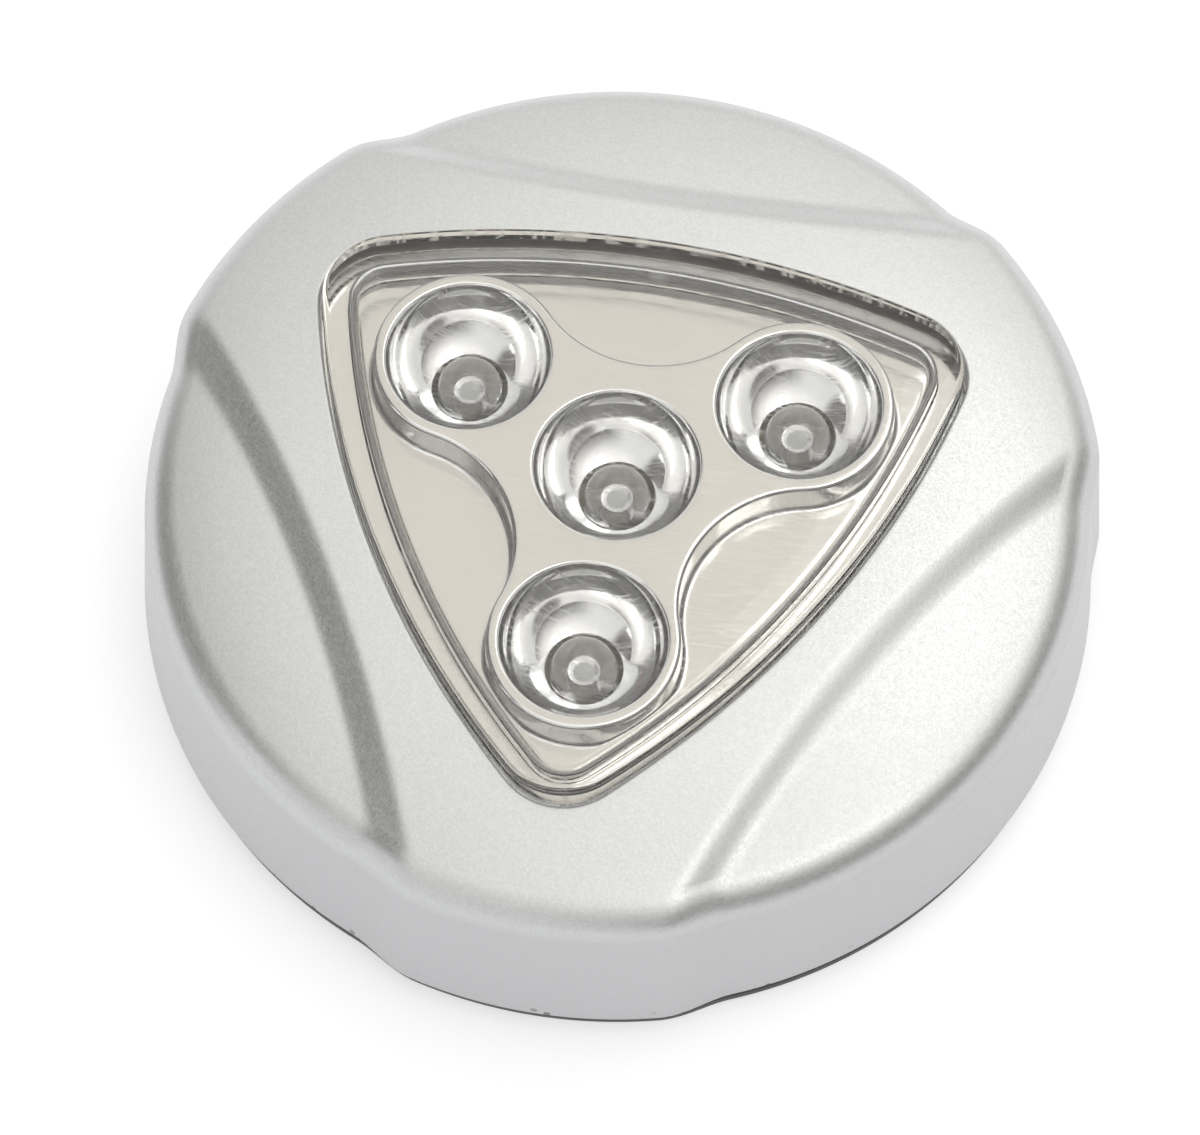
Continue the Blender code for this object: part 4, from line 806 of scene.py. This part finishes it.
def add_hidden_parts(made):
    """The post that presses the switch, and the ears on the cover's pins."""
    shape = bmesh.new()
    shape.from_mesh(made.data)
    turned(shape, in_mm(SWITCH_POST), 32, (0, SWITCH_OFFSET * MM))
    for angle in SIDE_ANGLES:
        place = at_angle(PIN_CIRCLE * MM, angle)
        bridge(shape, [around(radius, height, place, 32) for radius, height in in_mm(PIN_EAR)],
               closed=True)
    bmesh.ops.recalc_face_normals(shape, faces=shape.faces)
    shape.to_mesh(made.data)
    shape.free()


class MakeReflector(bpy.types.Operator):
    """Make the plated trefoil with its four bowls and low islands"""
    bl_idname = "cabinet_light.reflector"
    bl_label = "Reflector"

    def execute(self, context):
        mirror = context.scene.light_mirror
        lens = context.scene.light_lens
        island = PLATEAU_TOP - mirror.step
        band = 0.3 * MM
        shape = bmesh.new()
        rim = bridge(shape, [ring(lambda a: lens_radius(lens, a, offset), island)
                             for offset in (mirror.margin, mirror.margin - band)])
        wall = bridge(shape, trefoil_wall(mirror, island))
        places = [(0, 0)] + [at_angle(mirror.bowl_circle, angle) for angle in LOBE_ANGLES]
        bowls = [bridge(shape, bowl(mirror, place)) for place in places]
        fill(shape, [rim[-1], wall[0]])
        fill(shape, [wall[-1]] + [loops[0] for loops in bowls])
        bmesh.ops.recalc_face_normals(shape, faces=shape.faces)
        if sum(f.normal.z * f.calc_area() for f in shape.faces) < 0:
            bmesh.ops.reverse_faces(shape, faces=shape.faces)
        plating = mirror_plating(context.scene.light_finishes.mirror)
        made = mesh_object("reflector_skin", shape, plating, sharp=60, outwards=False)
        shell = made.modifiers.new("skin", "SOLIDIFY")
        shell.thickness = mirror.skin
        shell.offset = -1
        settle(made)
        add_hidden_parts(made)
        fit(made, "cover", "chrome_plating", "reflector")
        return {"FINISHED"}


# LEDs

def led_pattern():
    """Repeats a source on the axis and on three places of a circle round it."""
    tree = bpy.data.node_groups.new("led_pattern", "GeometryNodeTree")
    for label, kind in (("Geometry", "NodeSocketGeometry"), ("Source", "NodeSocketObject"),
                        ("Circle", "NodeSocketFloat"), ("Material", "NodeSocketMaterial")):
        tree.interface.new_socket(label, in_out="INPUT", socket_type=kind)
    tree.interface.new_socket("Geometry", in_out="OUTPUT", socket_type="NodeSocketGeometry")
    start = add_node(tree, "NodeGroupInput").outputs
    middle = add_node(tree, "GeometryNodeMeshLine", {"Count": 1})
    circle = add_node(tree, "GeometryNodeMeshCircle", {"Vertices": 3, "Radius": start["Circle"]})
    turn = add_node(tree, "GeometryNodeTransform", {
        "Geometry": circle.outputs["Mesh"], "Rotation": (0, 0, LOBE_ANGLES[0])})
    points = add_node(tree, "GeometryNodeJoinGeometry", {"Geometry": middle.outputs["Mesh"]})
    feed(tree, points, {"Geometry": turn.outputs["Geometry"]})
    source = add_node(tree, "GeometryNodeObjectInfo", {"Object": start["Source"]})
    copies = add_node(tree, "GeometryNodeInstanceOnPoints", {
        "Points": points.outputs["Geometry"], "Instance": source.outputs["Geometry"]})
    real = add_node(tree, "GeometryNodeRealizeInstances", {"Geometry": copies.outputs["Instances"]})
    coat = add_node(tree, "GeometryNodeSetMaterial", {
        "Geometry": real.outputs["Geometry"], "Material": start["Material"]})
    add_node(tree, "NodeGroupOutput", {"Geometry": coat.outputs["Geometry"]})
    return tree


def repeated(pattern, name, shape, circle, material):
    source = mesh_object(name + "_source", shape, material)
    made = bpy.data.objects.new(name, bpy.data.meshes.new(name))
    bpy.context.scene.collection.objects.link(made)
    step = made.modifiers.new("pattern", "NODES")
    step.node_group = pattern
    inputs = {s.name: s.identifier for s in pattern.interface.items_tree if s.in_out == "INPUT"}
    step[inputs["Source"]] = source
    step[inputs["Circle"]] = circle
    step[inputs["Material"]] = material
    settle(made)
    bpy.data.objects.remove(source)
    return made


def led_body(led):
    shape = bmesh.new()
    edge = 0.1 * MM
    foot = LED_LOW + led.flange
    top = LED_LOW + led.height
    profile = [(led.radius - a, top - b) for a, b in quarter(led.radius, 16)]
    profile += [(led.radius, foot + edge), (led.radius + edge, foot),
                (led.flange_radius - edge, foot), (led.flange_radius, foot - edge),
                (led.flange_radius, LED_LOW), (0, LED_LOW)]
    turned(shape, profile, 64)
    return shape


def lead_frame(led):
    """Two flat leads under the foot and inside the body, and the small dish of the chip."""
    shape = bmesh.new()
    half = led.lead / 2
    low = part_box("led_1")[0].z
    dish = LED_LOW + led.chip_height
    gap, start, near = 0.02 * MM, 0.6 * MM, 0.25 * MM
    far = led.spacing / 2 + half
    for side, below_dish in ((-1, 1.475 * MM), (1, 0.85 * MM)):
        middle = side * led.spacing / 2
        block(shape, (middle - half, -half, low), (middle + half, half, LED_LOW - gap))
        block(shape, (min(side * near, side * far), -half, LED_LOW + start),
              (max(side * near, side * far), half, dish - below_dish))
    turned(shape, in_mm(CHIP_DISH, dish), 32)
    return shape


def led_chip(led):
    shape = bmesh.new()
    turned(shape, in_mm(CHIP, LED_LOW + led.chip_height), 32)
    return shape


class MakeLeds(bpy.types.Operator):
    """Make the four clear LEDs with the lead frames and lit chips inside them"""
    bl_idname = "cabinet_light.leds"
    bl_label = "LEDs"

    def execute(self, context):
        led = context.scene.light_led
        circle = context.scene.light_mirror.bowl_circle
        finishes = context.scene.light_finishes
        pattern = led_pattern()
        epoxy = see_through("clear_epoxy", finishes.epoxy, 1.5, 0.1, 0.92)
        frame_metal = drawn_metal("lead_frame_metal", (0.72, 0.71, 0.69), 0.2)
        glow = moulded_plastic("phosphor", finishes.phosphor, 0.5, 0.7, 5000.0, 0.01)
        bodies = repeated(pattern, "led_bodies", led_body(led), circle, epoxy)
        frames = repeated(pattern, "led_frames", lead_frame(led), circle, frame_metal)
        chips = repeated(pattern, "led_chips", led_chip(led), circle, glow)
        fit(bodies, "housing", "clear_epoxy", "led_1", "led_2", "led_3", "led_4")
        for made, slot in ((frames, "nickel_plating"), (chips, "clear_epoxy")):
            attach(made, "housing")
        return {"FINISHED"}


# Back

def back_plate(cover):
    """A disc under the housing on a lobed rim, with a shallow pocket for the pad."""
    shape = bmesh.new()
    small = 0.2 * MM
    rim_top, plate_top, pocket_top = 1.6 * MM, 2.1 * MM, 1.15 * MM
    disc, pocket, pocket_mouth = 30.4 * MM, 19.15 * MM, 19.35 * MM
    rim_inset, rim_rise = 0.4 * MM, 0.8 * MM
    edge = quarter(small, 4)

    def lobed(inset, height):
        side = cover.side_radius - rim_inset
        return ring(lambda a: lobed_radius(cover, a, side, rim_rise) - inset, height)

    rings = [around(10 * MM, plate_top), around(disc - small, plate_top),
             around(disc, plate_top - small), around(disc, rim_top)]
    rings += [lobed(a, rim_top - b) for a, b in edge]
    rings += [lobed(b, PLATE_LOW + a) for a, b in edge]
    rings += [around(pocket_mouth, PLATE_LOW), around(pocket, PLATE_LOW + small),
              around(pocket, pocket_top), around(8 * MM, pocket_top)]
    bridge(shape, rings, (0, 0, plate_top), (0, 0, pocket_top))
    for angle in SIDE_ANGLES:
        for inner, outer, half, low, high in BAYONET_LUG:
            outline = sector(inner * MM, outer * MM, angle, radians(half))
            prism(shape, outline, low * MM, high * MM)
    return shape


def adhesive_pad():
    shape = bmesh.new()
    radius, top = 19.0 * MM, 1.0 * MM
    edge = quarter(0.2 * MM, 5)
    rings = [around(radius - a, top - b) for a, b in edge]
    rings += [around(radius - b, a) for a, b in edge]
    bridge(shape, rings, (0, 0, top), (0, 0, 0))
    return shape


class MakeBack(bpy.types.Operator):
    """Make the back plate with its bayonet lugs, and the adhesive pad"""
    bl_idname = "cabinet_light.back"
    bl_label = "Back plate and pad"

    def execute(self, context):
        finishes = context.scene.light_finishes
        plastic = moulded_plastic("dark_grey_plastic", finishes.back, 0.42, 0.62, 2600.0, 0.02)
        made = mesh_object("back_plate", back_plate(context.scene.light_cover), plastic)
        fit(made, "back", "dark_grey_plastic", "base_plate")
        made = mesh_object("adhesive_pad", adhesive_pad(), adhesive_foam(finishes.foam))
        fit(made, "back", "white_foam", "foam_pad")
        return {"FINISHED"}


# Return springs

def coil(shape, middle, low, high, radius, wire, turns=6.5, flat=0.8, steps=36, sides=10):
    """A round wire on a helix whose first and last turns lie flat."""
    rings = []
    for i in range(int(turns * steps) + 1):
        angle = tau * i / steps
        share = min(max((i / steps - flat) / (turns - 2 * flat), 0), 1)
        out = Vector((cos(angle), sin(angle), 0))
        hub = Vector((middle.x, middle.y, low + (high - low) * share)) + out * radius
        rings.append([hub + wire * (out * cos(tau * k / sides)
                                    + Vector((0, 0, 1)) * sin(tau * k / sides))
                      for k in range(sides)])
    ends = [sum(points, Vector()) / sides for points in (rings[0], rings[-1])]
    bridge(shape, rings, *ends)


class MakeReturnSprings(bpy.types.Operator):
    """Make the three coils that push the cover back up"""
    bl_idname = "cabinet_light.return_springs"
    bl_label = "Return springs"

    def execute(self, context):
        steel = drawn_metal("spring_steel", (0.65, 0.66, 0.68), 0.26)
        wire = 0.22 * MM
        for number in (1, 2, 3):
            node = f"return_spring_{number}"
            low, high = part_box(node)
            middle = (low + high) / 2
            shape = bmesh.new()
            coil(shape, middle, low.z + wire, high.z - wire, (high.x - low.x) / 2 - wire, wire)
            made = mesh_object(f"spring_coil_{number}", shape, steel)
            fit(made, "housing", "zinc_steel", node)
            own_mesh(made)
        return {"FINISHED"}


# Inside

class FinishInside(bpy.types.Operator):
    """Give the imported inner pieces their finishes"""
    bl_idname = "cabinet_light.inside"
    bl_label = "Inner pieces"

    def execute(self, context):
        finishes = context.scene.light_finishes
        black = moulded_plastic("black_plastic", finishes.housing, 0.4, 0.6, 2400.0, 0.02)
        white = moulded_plastic("switch_white", (0.78, 0.78, 0.75), 0.35, 0.5, 2200.0, 0.01)
        nickel = drawn_metal("nickel_plating", (0.72, 0.70, 0.66), 0.2)
        steel = drawn_metal("zinc_steel", (0.65, 0.66, 0.68), 0.26)
        resistor = banded_resistor((0.60, 0.46, 0.29))
        coats = {"base_housing": black, "switch_plunger": black, "switch_body": white,
                 "led_board": paper_laminate(finishes.board),
                 "terminal_positive": nickel, "terminal_negative": nickel}
        for name, tone in (("wire_red", (0.5, 0.022, 0.018)),
                           ("wire_black", (0.018, 0.018, 0.018))):
            coats[name] = moulded_plastic(name, tone, 0.32, 0.5, 1500.0, 0.015)
        for number, angle in enumerate(SIDE_ANGLES, 1):
            coats[f"battery_{number}"] = cell_sleeve(number, angle, finishes.cell)
            coats[f"contact_spring_{number}"] = nickel
            coats[f"guide_screw_{number}"] = steel
            coats[f"board_screw_{number}"] = steel
        for number in (1, 2):
            coats[f"contact_link_{number}"] = nickel
            coats[f"resistor_{number}"] = resistor
        for name, coat in coats.items():
            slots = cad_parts[name].material_slots
            if not slots:
                raise RuntimeError(f"{name} has no material slot to finish")
            for slot in slots:
                slot.material = coat
        return {"FINISHED"}


# Stage

# Name, place and size in metres, and power in watts
LAMPS = [("lamp_right", (0.20, 0.28, 0.61), (0.30, 0.28), 0.35),
         ("lamp_window", (0.29, -0.14, 0.62), (0.32, 0.26), 0.33),
         ("lamp_left", (-0.50, -0.24, 0.20), (0.12, 0.16), 0.10)]

# The camera that the bowls' rims and the outlines were fitted with, in degrees and millimetres
CAMERA_ACROSS, CAMERA_ABOVE, CAMERA_ROLL = 10.46, 63.58, -0.77
CAMERA_HEIGHT = 22.7
CAMERA_DISTANCE = 350
CAMERA_LEFT, CAMERA_DOWN = 1.352, 9.02
CAMERA_LENS = 142.8


def set_floor():
    """A wide floor just under the pad, lifted to white where a camera or a mirror sees it."""
    half, below = 40.0, 0.05 * MM
    shape = bmesh.new()
    bmesh.ops.create_grid(shape, x_segments=1, y_segments=1, size=half)
    bmesh.ops.translate(shape, vec=(0, 0, -below), verts=shape.verts)
    made, tree, shader, here, grain = start_material("pale_floor", 40.0, Roughness=0.9)
    tint = shaded(tree, (0.60, 0.60, 0.615), grain["Drift"], 0.99, 1.01)
    feed(tree, shader, {"Base Color": tint})
    path = add_node(tree, "ShaderNodeLightPath").outputs
    seen = path["Is Camera Ray"]
    for output in ("Is Glossy Ray", "Is Transmission Ray"):
        seen = calculate(tree, "MAXIMUM", seen, path[output])
    plain = shader.outputs["BSDF"]
    white = add_node(tree, "ShaderNodeEmission", {"Strength": 0.56}).outputs["Emission"]
    lifted = add_node(tree, "ShaderNodeAddShader", {0: plain, 1: white}).outputs["Shader"]
    blended(tree, seen, plain, lifted)
    mesh_object("floor", shape, made, outwards=False)


def towards(tree, way, middle, low, high):
    """How near a direction is to a middle one, between two cosines."""
    facing = add_node(tree, "ShaderNodeVectorMath", {0: way, 1: Vector(middle).normalized()},
                      operation="DOT_PRODUCT").outputs["Value"]
    return spread(tree, facing, 0.0, 1.0, low, high, "SMOOTHSTEP")


def set_world(scene):
    """A pale room, brightest overhead, dark low on the right and dim on the left."""
    made = bpy.data.worlds.new("pale_room")
    made.use_nodes = True
    tree = made.node_tree
    way = add_node(tree, "ShaderNodeTexCoord").outputs["Generated"]
    overhead = towards(tree, way, (0.30, 0.18, 0.93), 0.5, 0.92)
    left = towards(tree, way, (-0.88, 0.02, 0.47), 0.80, 0.92)
    right = towards(tree, way, (0.85, -0.25, 0.45), 0.35, 0.75)
    low = spread(tree, axis_of(tree, way, "Z"), 1.0, 0.0, 0.35, 0.76, "SMOOTHSTEP")
    room = mixed(tree, (0.84, 0.83, 0.82, 1), (1.22, 1.18, 1.12, 1), overhead)
    room = covered(tree, room, (0.09, 0.08, 0.075), left)
    room = covered(tree, room, (0.11, 0.105, 0.10), calculate(tree, "MULTIPLY", low, right))
    feed(tree, tree.nodes["Background"], {"Color": room})
    scene.world = made


def set_lamp(name, place, size, power):
    data = bpy.data.lights.new(name, "AREA")
    data.shape = "RECTANGLE"
    data.size, data.size_y = size
    data.energy = power
    made = bpy.data.objects.new(name, data)
    made.location = place
    aim = Vector((0, 0, 10 * MM)) - Vector(place)
    made.rotation_euler = aim.to_track_quat("-Z", "Y").to_euler()
    bpy.context.scene.collection.objects.link(made)


def set_camera(scene):
    across, above, roll = (radians(a) for a in (CAMERA_ACROSS, CAMERA_ABOVE, CAMERA_ROLL))
    back = Vector((sin(across) * cos(above), -cos(across) * cos(above), sin(above)))
    right = Vector((cos(across), sin(across), 0))
    up = back.cross(right)
    place = (Vector((0, 0, CAMERA_HEIGHT * MM)) + back * CAMERA_DISTANCE * MM
             - right * CAMERA_LEFT * MM - up * CAMERA_DOWN * MM)
    turned_right = right * cos(roll) + up * sin(roll)
    turned_up = up * cos(roll) - right * sin(roll)
    turn = Matrix((turned_right, turned_up, back)).transposed().to_4x4()
    data = bpy.data.cameras.new("camera")
    data.sensor_fit = "HORIZONTAL"
    data.sensor_width = 36
    data.lens = CAMERA_LENS
    data.clip_start = 0.01
    made = bpy.data.objects.new("camera", data)
    made.matrix_world = Matrix.Translation(place) @ turn
    scene.collection.objects.link(made)
    scene.camera = made


class SetStage(bpy.types.Operator):
    """Set the pale floor, the soft lamps, the world and the camera"""
    bl_idname = "cabinet_light.stage"
    bl_label = "Stage"

    def execute(self, context):
        set_floor()
        set_world(context.scene)
        for lamp in LAMPS:
            set_lamp(*lamp)
        set_camera(context.scene)
        context.scene.view_settings.view_transform = "Standard"
        return {"FINISHED"}


class LightPanel(bpy.types.Panel):
    """Sizes, colours and pieces of the cabinet light"""
    bl_idname = "VIEW3D_PT_cabinet_light"
    bl_label = "Cabinet light"
    bl_space_type = "VIEW_3D"
    bl_region_type = "UI"
    bl_category = "Cabinet light"

    def draw(self, context):
        for name, group in SIZE_GROUPS:
            box = self.layout.box()
            for key in group.__annotations__:
                box.prop(getattr(context.scene, name), key)
        for step in STEPS:
            self.layout.operator(step.bl_idname)


SIZE_GROUPS = [("light_cover", CoverSizes), ("light_lens", LensSizes),
               ("light_mirror", MirrorSizes), ("light_led", LedSizes), ("light_finishes", Finishes)]
STEPS = [MakeFrontCover, MakeLens, MakeReflector, MakeLeds, MakeBack, MakeReturnSprings,
         FinishInside, SetStage]


def register():
    for name, group in SIZE_GROUPS:
        bpy.utils.register_class(group)
        setattr(bpy.types.Scene, name, bpy.props.PointerProperty(type=group))
    for made in STEPS + [LightPanel]:
        bpy.utils.register_class(made)


def unregister():
    for made in [LightPanel] + STEPS[::-1]:
        bpy.utils.unregister_class(made)
    for name, group in SIZE_GROUPS[::-1]:
        delattr(bpy.types.Scene, name)
        bpy.utils.unregister_class(group)


def main():
    register()
    bpy.ops.cabinet_light.front_cover()
    bpy.ops.cabinet_light.lens()
    bpy.ops.cabinet_light.reflector()
    bpy.ops.cabinet_light.leds()
    bpy.ops.cabinet_light.back()
    bpy.ops.cabinet_light.return_springs()
    bpy.ops.cabinet_light.inside()
    bpy.ops.cabinet_light.stage()


if __name__ == "__main__":
    main()
